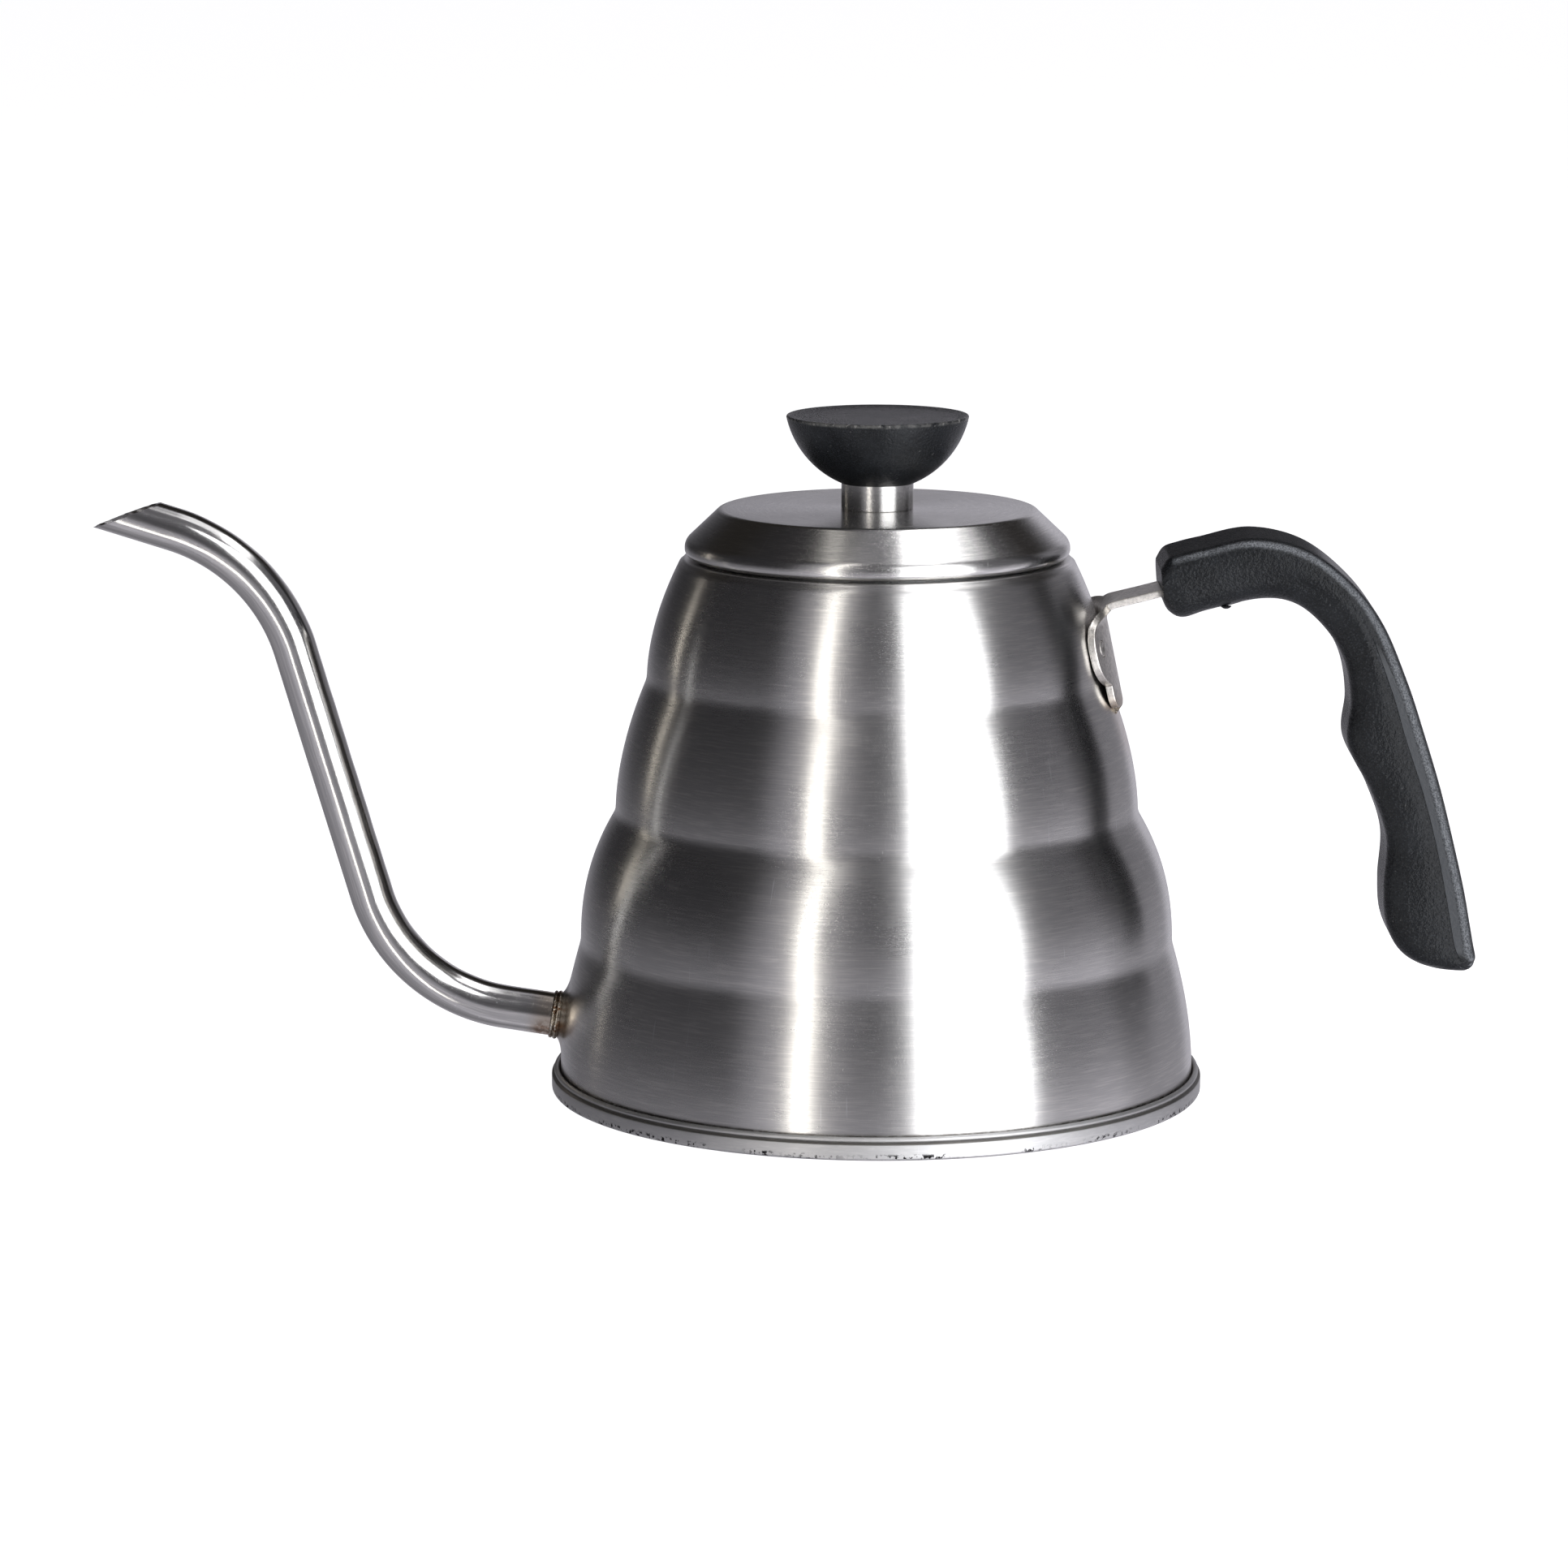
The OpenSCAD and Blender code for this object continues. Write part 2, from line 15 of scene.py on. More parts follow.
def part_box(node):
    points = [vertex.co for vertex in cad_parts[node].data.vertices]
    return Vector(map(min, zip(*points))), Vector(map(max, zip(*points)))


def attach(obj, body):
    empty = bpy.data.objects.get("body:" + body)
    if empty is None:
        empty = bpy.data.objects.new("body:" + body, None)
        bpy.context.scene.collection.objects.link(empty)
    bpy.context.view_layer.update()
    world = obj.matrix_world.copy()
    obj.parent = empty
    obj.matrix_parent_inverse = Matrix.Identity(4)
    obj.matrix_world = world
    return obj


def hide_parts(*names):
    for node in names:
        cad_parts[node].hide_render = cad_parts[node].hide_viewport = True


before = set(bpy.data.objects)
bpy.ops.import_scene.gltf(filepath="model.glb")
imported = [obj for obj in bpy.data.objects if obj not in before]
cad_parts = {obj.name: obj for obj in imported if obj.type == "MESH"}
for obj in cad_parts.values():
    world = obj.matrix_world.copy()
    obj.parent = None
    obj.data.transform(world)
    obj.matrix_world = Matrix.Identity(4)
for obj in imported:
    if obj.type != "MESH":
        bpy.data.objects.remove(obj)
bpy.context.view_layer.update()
scene = bpy.context.scene
MM = 0.001


def box_mm(node):
    """Lowest and highest corner of a CAD node, in millimetres."""
    return [Vector(corner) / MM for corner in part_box(node)]


# ---- Sizes: outer ones come from the frame, the rest are the design's own ----

BASE_R, _, RIM_H = box_mm("base_pan")[1]
LEDGE_Z = box_mm("body_shell")[1].z
LID_R, _, LID_Z = box_mm("lid_cap")[1]
FERRULE_R, _, FERRULE_TOP = box_mm("knob_ferrule")[1]
knob_low, knob_high = box_mm("knob")
KNOB_Z = knob_high.z
KNOB_RIM_R = (knob_high.x - knob_low.x) / 2
LIP_X = -box_mm("spout_tube")[0].x

SHEET_T = 0.6
FOOT_R = 70
SHOULDER_R = 42.9
NECK_R = 39.2
NECK_H = 6
# Each tier from its lower end to its upper end, as (r, z), and how full it bulges
CREASES = [(FOOT_R, RIM_H), (65.4, 33), (57.6, 62), (50.6, 91.5), (SHOULDER_R, LEDGE_Z)]
FULLNESS = [1.8, 2.3, 1.8, 1.8]
EASE = 0.8

# The spout's centre line has two knees, each rounded by a bend
SPOUT_R = 4.8
BORE_R = 4.2
COLLAR_X = 71.2
KNEE = np.array([-105.2, 21.3])
ROOT_RISE = math.radians(9)
RISER_LEAN = math.radians(16.4)
RISER_L = 100.9
TIP_RISE = math.radians(17.5)
LOW_BEND_R = 36.5
HIGH_BEND_R = 40
LIP_CUT = math.radians(20)

STRIP_T = 1.6
STRAP_HALF_W = 7
STRAP_RISE = math.radians(14.5)
STRAP_L = 34
SCREW_AT = 24.5
POCKET_R = 3.8
PLATE_HALF_W = 20.2
PLATE_MID_Z = 99.5
PLATE_HALF_H = 8.8
SQUARENESS = 2.8
TAB_HALF_W = 14.4
TAB_Z = 86.8
TAB_ROUND = 3
PLATE_LEAN = math.radians(11.6)
BEND_START_Z = 104.8
BEND_R = 3.4
PLUG_R = 1.8
PLUG_Z = 100.2
PLUG_TURN = 18.4

# The grip's outline in its middle plane, as (x, z) from the nose to the heel
GRIP_HALF_W = 12.5
BACK_RAIL = [
    (61.5, 116.8), (63.2, 119.4), (66.5, 120.6), (71, 121.7), (82, 123.9), (93.5, 121.3),
    (103.2, 114), (110.3, 104.6), (115.9, 91.7), (119.6, 80.8), (123.4, 68.6), (126.4, 57),
    (129, 46), (130.4, 38.6), (131.3, 33.6), (131.7, 30.6), (130.9, 28.9),
]
FINGER_RAIL = [
    (61.9, 110.4), (63.4, 107.6), (66.6, 106.2), (72.4, 107.9), (83.6, 110.3), (91.2, 109.1),
    (97.6, 103.8), (101.9, 96.6), (103.5, 87.5), (103, 78), (108.3, 67.4), (111.8, 57),
    (111.4, 46), (112.1, 38), (115.4, 31.8), (121.4, 28.5), (129.6, 27.8),
]

LID_TOP_R = 33.9
CROWN_ROUND = 1.8
LID_T = 0.7
BEVEL = 46
KNOB_SPHERE_R = 20.4
KNOB_CENTRE_Z = 153.6

TURN_STEPS = 192


# ---- Camera, at the photograph's viewing angle ----

AIM = Vector((-20.43, 0, 67.86)) * MM
CAMERA_DISTANCE = 1308 * MM
CAMERA_PITCH = math.radians(10.18)
CAMERA_LENS = 136.2

camera_data = bpy.data.cameras.new("camera")
camera_data.lens = CAMERA_LENS
camera_data.sensor_width = 36
camera = bpy.data.objects.new("camera", camera_data)
scene.collection.objects.link(camera)
away = Vector((0, -math.cos(CAMERA_PITCH), math.sin(CAMERA_PITCH)))
camera.location = AIM + CAMERA_DISTANCE * away
camera.rotation_euler = (math.pi / 2 - CAMERA_PITCH, 0, 0)
scene.camera = camera
scene.view_settings.view_transform = "Standard"


# ---- Curves and mesh helpers ----


def arc(centre, radius, start, stop, steps):
    """Points of an arc in a plane, with its angles in degrees."""
    angles = np.radians(np.linspace(start, stop, steps + 1))
    return [(centre[0] + radius * math.cos(a), centre[1] + radius * math.sin(a)) for a in angles]


def line(start, stop, steps):
    """Points between two ends, without the ends."""
    return [tuple(np.array(start) + (np.array(stop) - np.array(start)) * i / steps)
            for i in range(1, steps)]


def along(points, share):
    """A point at share, from 0 to 1, on the smooth curve through all the points."""
    p = np.array(points, float)
    last = len(p) - 1
    k = min(int(share * last), last - 1)
    t = share * last - k
    a, b, c, d = p[max(k - 1, 0)], p[k], p[k + 1], p[min(k + 2, last)]
    return 0.5 * (2 * b + (c - a) * t + (2 * a - 5 * b + 4 * c - d) * t**2
                  + (3 * b - a - 3 * c + d) * t**3)


def smooth_step(value, low, high):
    """0 up to low and 1 from high, with a smooth rise between them."""
    t = min(max((value - low) / (high - low), 0), 1)
    return t * t * (3 - 2 * t)


def around_grain(points):
    """Grain coordinates of a turned piece: two along the brushing, one across it."""
    p = np.array(points, float)
    r = np.hypot(p[:, 0], p[:, 1])
    angle = np.arctan2(p[:, 1], p[:, 0])
    mean_r = 50
    return np.stack([mean_r * np.cos(angle), mean_r * np.sin(angle), p[:, 2] - r], axis=1)


def outward_mesh(name, points, faces, grain=None):
    """A mesh from points in millimetres, with its faces turned outwards."""
    mesh = bpy.data.meshes.new(name)
    mesh.from_pydata([tuple(MM * float(c) for c in p) for p in points], [], faces)
    if grain is not None:
        layer = mesh.attributes.new("grain", "FLOAT_VECTOR", "POINT")
        layer.data.foreach_set("vector", np.asarray(grain, np.float32).ravel())
    shell = bmesh.new()
    shell.from_mesh(mesh)
    bmesh.ops.recalc_face_normals(shell, faces=shell.faces)
    shell.to_mesh(mesh)
    shell.free()
    return mesh


def mesh_piece(name, points, faces, material, stands_for, body="kettle", grain=None,
               sharp=38):
    """A smooth mesh that rides on a body and stands for CAD nodes."""
    mesh = outward_mesh(name, points, faces, grain)
    mesh.polygons.foreach_set("use_smooth", [True] * len(mesh.polygons))
    mesh.set_sharp_from_angle(angle=math.radians(sharp))
    mesh.materials.append(material)
    piece = bpy.data.objects.new(name, mesh)
    scene.collection.objects.link(piece)
    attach(piece, body)
    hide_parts(*stands_for)
    return piece


def grid_faces(rows, wrap_rows=False, skip=()):
    """Quads between rows of vertex numbers. A row that repeats one number is a pole."""
    faces = []
    above = rows[1:] + rows[:1] if wrap_rows else rows[1:]
    for j, (low, high) in enumerate(zip(rows, above)):
        for i in range(len(low)):
            if (j, i) in skip:
                continue
            k = (i + 1) % len(low)
            corners = list(dict.fromkeys([low[i], low[k], high[k], high[i]]))
            if len(corners) > 2:
                faces.append(corners)
    return faces


def lathe(profile, closed=False, steps=TURN_STEPS):
    """Points and faces of a profile of (r, z) points turned round Z."""
    points, rows = [], []
    for r, z in profile:
        first = len(points)
        if r < 1e-6:
            points.append((0, 0, z))
            rows.append([first] * steps)
        else:
            angles = np.arange(steps) * 2 * math.pi / steps
            points += [(r * math.cos(a), r * math.sin(a), z) for a in angles]
            rows.append(list(range(first, first + steps)))
    return points, grid_faces(rows, wrap_rows=closed)


def turned_piece(name, profile, material, stands_for, body="kettle", closed=False):
    """A piece lathed from its profile, with its grain running round it."""
    points, faces = lathe(profile, closed)
    mesh_piece(name, points, faces, material, stands_for, body, around_grain(points))


def cut_from(piece, cutters, sharp):
    """Cuts helper objects out of a piece, removes them, and marks the sharp edges again."""
    for cutter in cutters:
        cut = piece.modifiers.new("cut", "BOOLEAN")
        cut.operation = "DIFFERENCE"
        cut.solver = "EXACT"
        cut.object = cutter
    graph = bpy.context.evaluated_depsgraph_get()
    mesh = bpy.data.meshes.new_from_object(piece.evaluated_get(graph))
    piece.modifiers.clear()
    piece.data = mesh
    mesh.set_sharp_from_angle(angle=math.radians(sharp))
    for cutter in cutters:
        bpy.data.objects.remove(cutter)


def helper(points, faces, matrix):
    """An object that is used only for cutting."""
    cutter = bpy.data.objects.new("cutter", outward_mesh("cutter", points, faces))
    cutter.matrix_world = matrix
    scene.collection.objects.link(cutter)
    return cutter


def helper_cylinder(radius, low, high, matrix):
    """A cylinder along its own Z, for cutting."""
    points, faces = lathe([(0, low), (radius, low), (radius, high), (0, high)], steps=48)
    return helper(points, faces, matrix)


def moved_by(matrix, points):
    """Points in millimetres, moved by a matrix in metres."""
    return [tuple((matrix @ (Vector(p) * MM)) / MM) for p in points]


# ---- Materials ----


class Graph:
    """A node tree, with short ways to add nodes to it. Values may be numbers or sockets."""

    def __init__(self, tree):
        self.tree = tree

    def put(self, socket, value):
        if isinstance(value, bpy.types.NodeSocket):
            self.tree.links.new(value, socket)
        else:
            socket.default_value = value

    def node(self, kind, settings=(), **values):
        made = self.tree.nodes.new(kind)
        for name, value in dict(settings).items():
            setattr(made, name, value)
        for name, value in values.items():
            self.put(made.inputs[name.replace("_", " ")], value)
        return made

    def math(self, operation, a, b=0.0, clamp=False):
        made = self.node("ShaderNodeMath", {"operation": operation, "use_clamp": clamp})
        self.put(made.inputs[0], a)
        self.put(made.inputs[1], b)
        return made.outputs[0]

    def plus(self, a, b, clamp=False):
        return self.math("ADD", a, b, clamp)

    def times(self, a, b):
        return self.math("MULTIPLY", a, b)

    def ramp(self, value, low, high, to_low=0.0, to_high=1.0):
        """value from low..high to to_low..to_high, smooth and held at both ends."""
        settings = {"interpolation_type": "SMOOTHSTEP"}
        return self.map_range(settings, value, low, high, to_low, to_high)

    def linear(self, value, low, high, to_low=0.0, to_high=1.0):
        """value from low..high to to_low..to_high in a straight line, beyond the ends too."""
        return self.map_range({"clamp": False}, value, low, high, to_low, to_high)

    def map_range(self, settings, value, low, high, to_low, to_high):
        made = self.node("ShaderNodeMapRange", settings, Value=value, From_Min=low,
                         From_Max=high, To_Min=to_low, To_Max=to_high)
        return made.outputs["Result"]

    def mix(self, factor, a, b):
        """Colour a at factor 0 and b at factor 1."""
        made = self.node("ShaderNodeMix", {"data_type": "RGBA"}, Factor=factor)
        # The node has these sockets once for each data type, and these are the colours
        self.put(made.inputs[6], a)
        self.put(made.inputs[7], b)
        return made.outputs[2]

    def split(self, vector):
        return self.node("ShaderNodeSeparateXYZ", Vector=vector).outputs


class Shader(Graph):
    """A Principled material. Places, scales and depths are in millimetres."""

    def __init__(self, name):
        self.material = bpy.data.materials.new(name)
        self.material.use_nodes = True
        super().__init__(self.material.node_tree)
        self.bsdf = self.tree.nodes["Principled BSDF"]

    def set(self, **values):
        for name, value in values.items():
            self.put(self.bsdf.inputs[name.replace("_", " ")], value)

    def metal(self, colour, roughness, normal):
        """Sets the look of a metal and gives the finished material."""
        self.set(Base_Color=colour, Metallic=1.0, Roughness=roughness, Normal=normal)
        return self.material

    def vector_math(self, operation, a, b):
        made = self.node("ShaderNodeVectorMath", {"operation": operation})
        self.put(made.inputs[0], a)
        self.put(made.inputs[1], b)
        return made.outputs

    def scaled(self, vector, factors):
        return self.vector_math("MULTIPLY", vector, factors)["Vector"]

    def distance(self, vector, centre):
        return self.vector_math("DISTANCE", vector, centre)["Value"]

    def place(self):
        coordinates = self.node("ShaderNodeTexCoord").outputs["Object"]
        return self.scaled(coordinates, (1 / MM,) * 3)

    def grain(self):
        return self.node("ShaderNodeAttribute", {"attribute_name": "grain"}).outputs["Vector"]

    def noise(self, vector, detail=3.0, roughness=0.55, scale=1.0):
        made = self.node("ShaderNodeTexNoise", Vector=vector, Scale=scale, Detail=detail,
                         Roughness=roughness)
        return made.outputs["Fac"]

    def spots(self, vector, scale, detail, low, high, roughness=0.55):
        """Scattered spots: 0 where the noise is under low and 1 where it is over high."""
        return self.ramp(self.noise(vector, detail, roughness, scale), low, high)

    def radius(self, x, y):
        return self.math("SQRT", self.plus(self.times(x, x), self.times(y, y)))

    def bump(self, height, depth, normal=None):
        made = self.node("ShaderNodeBump", Height=height, Distance=depth * MM, Strength=1.0)
        if normal is not None:
            self.put(made.inputs["Normal"], normal)
        return made.outputs["Normal"]


def grey(value, warm=0.0):
    """A linear colour near grey. warm above 0 leans to red, below 0 to blue."""
    return (value * (1 + warm), value, value * (1 - 1.6 * warm), 1)


STEEL = 0.60
HEAT_TAN = (0.42, 0.28, 0.18, 1)
STRAW = (0.50, 0.38, 0.25, 1)
BURNT_BROWN = (0.17, 0.085, 0.045, 1)
# Painted shade low on the vessel's wall, by the foot's groove
WALL_FOOT_SHADE = (0.10, 0.07, 0.05, 1)
# Painted shade for the base band's seam and its groove
SEAM_SHADE = (0.07, 0.06, 0.045, 1)
PIT_BLACK = (0.012, 0.011, 0.012, 1)

# The middles of the heat marks, in the frame
COLLAR_HEAT = (-COLLAR_X, 0, 13.5)
TAB_HEAT = (53, -6, 83.5)
TUBE_HEAT = (-COLLAR_X, 0, 15.9)
TUBE_BURN = (-COLLAR_X - 2, -3, 12.0)

BAND_SEAM_Z = 3.62
# A quarter turn of the lobe lays it along the brushing
LOBE_TURN = 0.25


def brushed_steel(name, stretch, roughness, anisotropy, speckle, streak_depth=0.004,
                  tint=None, spread=0.06):
    """Steel with streaks that follow the grain attribute, specks, smudges and fine scratches.

    stretch is in cycles per millimetre for each grain coordinate. spread says how much the
    roughness varies in clouds. tint gets the shader, the place and the colour so far, and
    returns a colour.
    """
    s = Shader(name)
    place = s.place()
    grain = s.grain()
    coarse = s.noise(s.scaled(grain, stretch), detail=1, roughness=0.5)
    fine = s.noise(s.scaled(grain, [2.6 * f for f in stretch]), detail=2, roughness=0.6)
    streak = s.plus(s.times(coarse, 0.4), s.times(fine, 0.6))
    cloud = s.noise(place, scale=0.045, detail=3, roughness=0.5)
    smudge = s.spots(place, 0.11, 5, 0.58, 0.74, 0.65)

    tone = s.plus(s.ramp(streak, 0.42, 0.74), s.linear(cloud, 0.3, 0.7, -0.06, 0.06))
    dark = grey(STEEL * 0.95, 0.012)
    light = grey(STEEL * 1.22, 0.022)
    colour = s.mix(s.plus(tone, 0.06, clamp=True), dark, light)
    # A few short upright scratches
    lines = s.spots(s.scaled(grain, (3.2, 3.2, 0.09)), 1.0, 1, 0.70, 0.75)
    rare = s.spots(place, 0.06, 1, 0.55, 0.66)
    scratches = s.times(lines, rare)
    colour = s.mix(s.times(scratches, 0.7), colour, grey(0.9))
    if tint:
        colour = tint(s, place, colour)

    rough = s.linear(cloud, 0.3, 0.7, roughness - spread, roughness + spread)
    rough = s.plus(rough, s.linear(fine, 0.3, 0.7, -0.006, 0.006))
    rough = s.plus(rough, s.times(smudge, 0.05))
    normal = s.bump(coarse, streak_depth) if streak_depth else None
    specks = s.spots(place, 4.2, 1, 0.60, 0.74, 0.4)
    normal = s.bump(specks, 0.012 * speckle, normal)
    s.set(Anisotropic=anisotropy, Anisotropic_Rotation=LOBE_TURN)
    if anisotropy:
        tangent = s.node("ShaderNodeTangent", {"direction_type": "RADIAL", "axis": "Z"})
        s.set(Tangent=tangent.outputs[0])
    return s.metal(colour, s.math("MAXIMUM", rough, 0.05), normal)


def vessel_tint(s, place, colour):
    """Heat marks where the spout and the bracket are welded on, and painted shade in blotches low on
    the wall, where it meets the foot's groove.
    """
    blotch = s.noise(place, scale=0.5, detail=3)
    near_spout = s.ramp(s.distance(place, COLLAR_HEAT), 9, 4)
    near_tab = s.ramp(s.distance(place, TAB_HEAT), 13, 4)
    heat = s.times(s.math("MAXIMUM", near_spout, near_tab), blotch)
    colour = s.mix(s.times(heat, 0.6), colour, HEAT_TAN)
    # Painted shade: the wall darkens just above the foot, broken up in blotches
    low_wall_shade = s.times(s.ramp(s.split(place)["Z"], 5.4, 4.8), s.ramp(blotch, 0.35, 0.6))
    return s.mix(s.times(low_wall_shade, 0.6), colour, WALL_FOOT_SHADE)


def spout_tint(s, place, colour):
    """Straw tint close to the weld, brown on its lower side."""
    blotch = s.noise(place, scale=0.8, detail=2)
    near = s.ramp(s.distance(place, TUBE_HEAT), 8.5, 5)
    straw = s.mix(s.times(near, 0.5), colour, STRAW)
    patch = s.ramp(s.distance(place, TUBE_BURN), 5, 2)
    brown = s.times(patch, s.ramp(blotch, 0.3, 0.6))
    return s.mix(s.times(brown, 0.8), straw, BURNT_BROWN)


def base_tint(s, place, colour):
    """Duller steel, painted shade in the band's seam and in the groove by the foot, and burnt pits
    along its lower edge.
    """
    x, y, z = s.split(place)
    cluster = s.spots(place, 0.055, 2, 0.42, 0.54)
    pit = s.spots(place, 1.1, 3, 0.52, 0.57, 0.6)
    low = s.times(s.ramp(z, 1.7, 1.0), s.ramp(z, 0.1, 0.5))
    pits = s.times(s.times(cluster, pit), low)
    colour = s.mix(0.5, colour, grey(0.46, -0.01))
    # Painted shade in the seam between band and bead, and in the groove by the vessel's foot
    seam = s.ramp(s.math("ABSOLUTE", s.math("SUBTRACT", z, BAND_SEAM_Z)), 0.30, 0.08)
    groove = s.ramp(s.radius(x, y), FOOT_R + 0.75, FOOT_R + 0.3)
    colour = s.mix(s.times(s.math("MAXIMUM", seam, groove), 0.75), colour, SEAM_SHADE)
    return s.mix(pits, colour, PIT_BLACK)


def weld_metal():
    """Bead of weld: bright ripples, straw colour, and brown in places."""
    s = Shader("weld_bead")
    place = s.place()
    patch = s.noise(place, scale=0.35, detail=3)
    spot = s.noise(place, scale=1.7, detail=2)
    colour = s.mix(s.ramp(patch, 0.48, 0.62), (0.40, 0.35, 0.28, 1), (0.20, 0.12, 0.07, 1))
    colour = s.mix(s.ramp(spot, 0.52, 0.64), colour, (0.70, 0.66, 0.58, 1))
    return s.metal(colour, s.linear(spot, 0.3, 0.7, 0.36, 0.18), s.bump(spot, 0.08))


def tumbled_steel():
    """Bracket strip: pale tumbled steel with small dark pits and a soft sheen."""
    s = Shader("bracket_tumbled_steel")
    place = s.place()
    mottle = s.noise(place, scale=0.9, detail=5, roughness=0.7)
    pit = s.spots(place, 2.2, 3, 0.60, 0.68, 0.6)
    colour = s.mix(s.ramp(mottle, 0.35, 0.65), grey(0.50, 0.04), grey(0.72, 0.045))
    colour = s.mix(s.times(pit, 0.55), colour, grey(0.16, 0.05))
    burnt = s.times(s.ramp(s.split(place)["Z"], 91.5, 87.2), s.ramp(mottle, 0.3, 0.6))
    colour = s.mix(s.times(burnt, 0.6), colour, (0.36, 0.25, 0.14, 1))
    return s.metal(colour, s.linear(mottle, 0.3, 0.7, 0.40, 0.27), s.bump(mottle, 0.05))


def moulded_plastic(name, pebble_mm, depth, wear=None, shade=0.007, facets=False):
    """Black plastic with a spark-eroded pebble texture. wear returns a pale mask.

    facets is for the grip: it shows the smooth strip marked in the grain attribute with a painted
    sheen, a painted highlight on the back corners, and a duller top.
    """
    s = Shader(name)
    place = s.place()
    pebble = s.noise(place, scale=1 / pebble_mm, detail=2, roughness=0.5)
    crumbs = s.noise(place, scale=2.2 / pebble_mm, detail=1)
    cloud = s.noise(place, scale=0.09, detail=4, roughness=0.6)
    colour = s.mix(s.ramp(cloud, 0.4, 0.7), grey(shade, -0.10), grey(shade * 1.8, -0.10))
    # Lighter specks on the pebble tips are painted glints
    pebble_glints = s.ramp(crumbs, 0.52, 0.72)
    colour = s.mix(s.times(pebble_glints, 0.35), colour, grey(0.040, -0.10))
    dust = s.spots(place, 1.4, 2, 0.70, 0.76)
    colour = s.mix(s.times(dust, 0.25), colour, grey(0.16))
    # Centred on 0, so that scaling it below makes no slope of its own
    height = s.math("SUBTRACT", s.plus(pebble, s.times(crumbs, 0.4)), 0.7)
    facing = s.node("ShaderNodeNewGeometry").outputs["Normal"]
    upward = s.split(facing)["Z"]
    height = s.times(height, s.ramp(upward, 0.80, 0.95, 1.0, 3.0))
    rough = s.linear(cloud, 0.3, 0.7, 0.23, 0.28)
    if facets:
        # Painted highlight: pale speckled colour on the back corners that face up and back
        grains = s.ramp(crumbs, 0.35, 0.65, 0.35, 1.0)
        pale_mask = s.times(corner_highlight(s, facing), grains)
        colour = s.mix(pale_mask, colour, grey(0.17, -0.05))
        # Painted sheen: the smooth strip is coloured lighter; its bump is also made shallower
        smooth = s.ramp(s.split(s.grain())["Y"], 0.3, 0.9)
        colour = s.mix(smooth, colour, grey(0.050, -0.06))
        height = s.times(height, s.linear(smooth, 0, 1, 1, 0.35))
        rough = s.plus(rough, s.ramp(upward, 0.75, 0.95, 0.0, 0.35))
    if wear:
        colour = s.mix(wear(s, place), colour, grey(0.13, 0.02))
    s.set(Base_Color=colour, Roughness=rough, Normal=s.bump(height, depth),
          IOR=1.4, Specular_IOR_Level=0.25)
    return s.material


def corner_highlight(s, facing):
    """1 on the grip's two long back corners that face up and back, where a highlight is painted."""
    x, y, z = s.split(facing)
    side = s.math("ABSOLUTE", y)
    corner = s.times(s.ramp(side, 0.38, 0.70), s.ramp(side, 0.96, 0.80))
    return s.times(corner, s.ramp(s.plus(x, z), 0.25, 0.65))


def knob_wear(s, place):
    """A worn pale line with chips along the knob's rim, and fine scratches on its top."""
    x, y, z = s.split(place)
    outer = s.ramp(s.radius(x, y), KNOB_RIM_R - 0.9, KNOB_RIM_R - 0.35)
    edge = s.times(outer, s.ramp(z, KNOB_Z - 1.0, KNOB_Z - 0.4))
    pale_mask = s.spots(place, 0.35, 5, 0.36, 0.60, 0.7)
    chips = s.spots(place, 1.1, 3, 0.60, 0.66)
    line_wear = s.times(edge, s.plus(s.times(pale_mask, 0.55), chips))
    scratch = s.spots(s.scaled(place, (0.25, 3.0, 1.0)), 1.0, 2, 0.66, 0.74)
    scratched = s.times(scratch, s.ramp(z, KNOB_Z - 1.2, KNOB_Z - 0.6))
    return s.plus(line_wear, s.times(scratched, 0.22), clamp=True)


def plain_metal(name, colour, roughness):
    """Small fittings: fine turned finish with faint mottling."""
    s = Shader(name)
    place = s.place()
    mottle = s.noise(place, scale=0.8, detail=4)
    ring_marks = s.noise(s.scaled(place, (0.4, 0.4, 9)), detail=2)
    shade = s.mix(s.ramp(mottle, 0.35, 0.7), colour, tuple(0.8 * c for c in colour[:3]) + (1,))
    rough = s.linear(mottle, 0.3, 0.7, roughness - 0.05, roughness + 0.05)
    return s.metal(shade, rough, s.bump(ring_marks, 0.004))


# Cycles of the streaks per millimetre of each grain coordinate
AROUND = (0.10, 0.10, 1.7)
AROUND_BASE = (0.2, 0.2, 1.0)
AROUND_FERRULE = (0.2, 0.2, 2.5)
ALONG_TUBE = (0.05, 0.9, 0.9)

vessel_steel = brushed_steel("vessel_brushed_steel", AROUND, 0.28, 0.85, 0.34,
                             streak_depth=0.0, tint=vessel_tint, spread=0.018)
lid_steel = brushed_steel("lid_brushed_steel", AROUND, 0.24, 0.55, 0.5,
                          streak_depth=0.0, spread=0.015)
base_steel = brushed_steel("base_dull_steel", AROUND_BASE, 0.45, 0.0, 0.6, tint=base_tint)
spout_steel = brushed_steel("spout_polished_steel", ALONG_TUBE, 0.15, 0.0, 0.3,
                            streak_depth=0.003, tint=spout_tint, spread=0.03)
ferrule_steel = brushed_steel("ferrule_steel", AROUND_FERRULE, 0.24, 0.4, 0.4)
bracket_steel = tumbled_steel()
weld_bead = weld_metal()
knob_plastic = moulded_plastic("knob_black_plastic", 0.6, 0.16, wear=knob_wear)
grip_plastic = moulded_plastic("grip_black_plastic", 0.75, 0.24, shade=0.006, facets=True)
ring_plastic = moulded_plastic("ring_black_plastic", 0.62, 0.2, shade=0.006)
fastener_steel = plain_metal("fastener_steel", grey(0.55), 0.3)
insert_brass = plain_metal("insert_brass", (0.70, 0.48, 0.18, 1), 0.3)


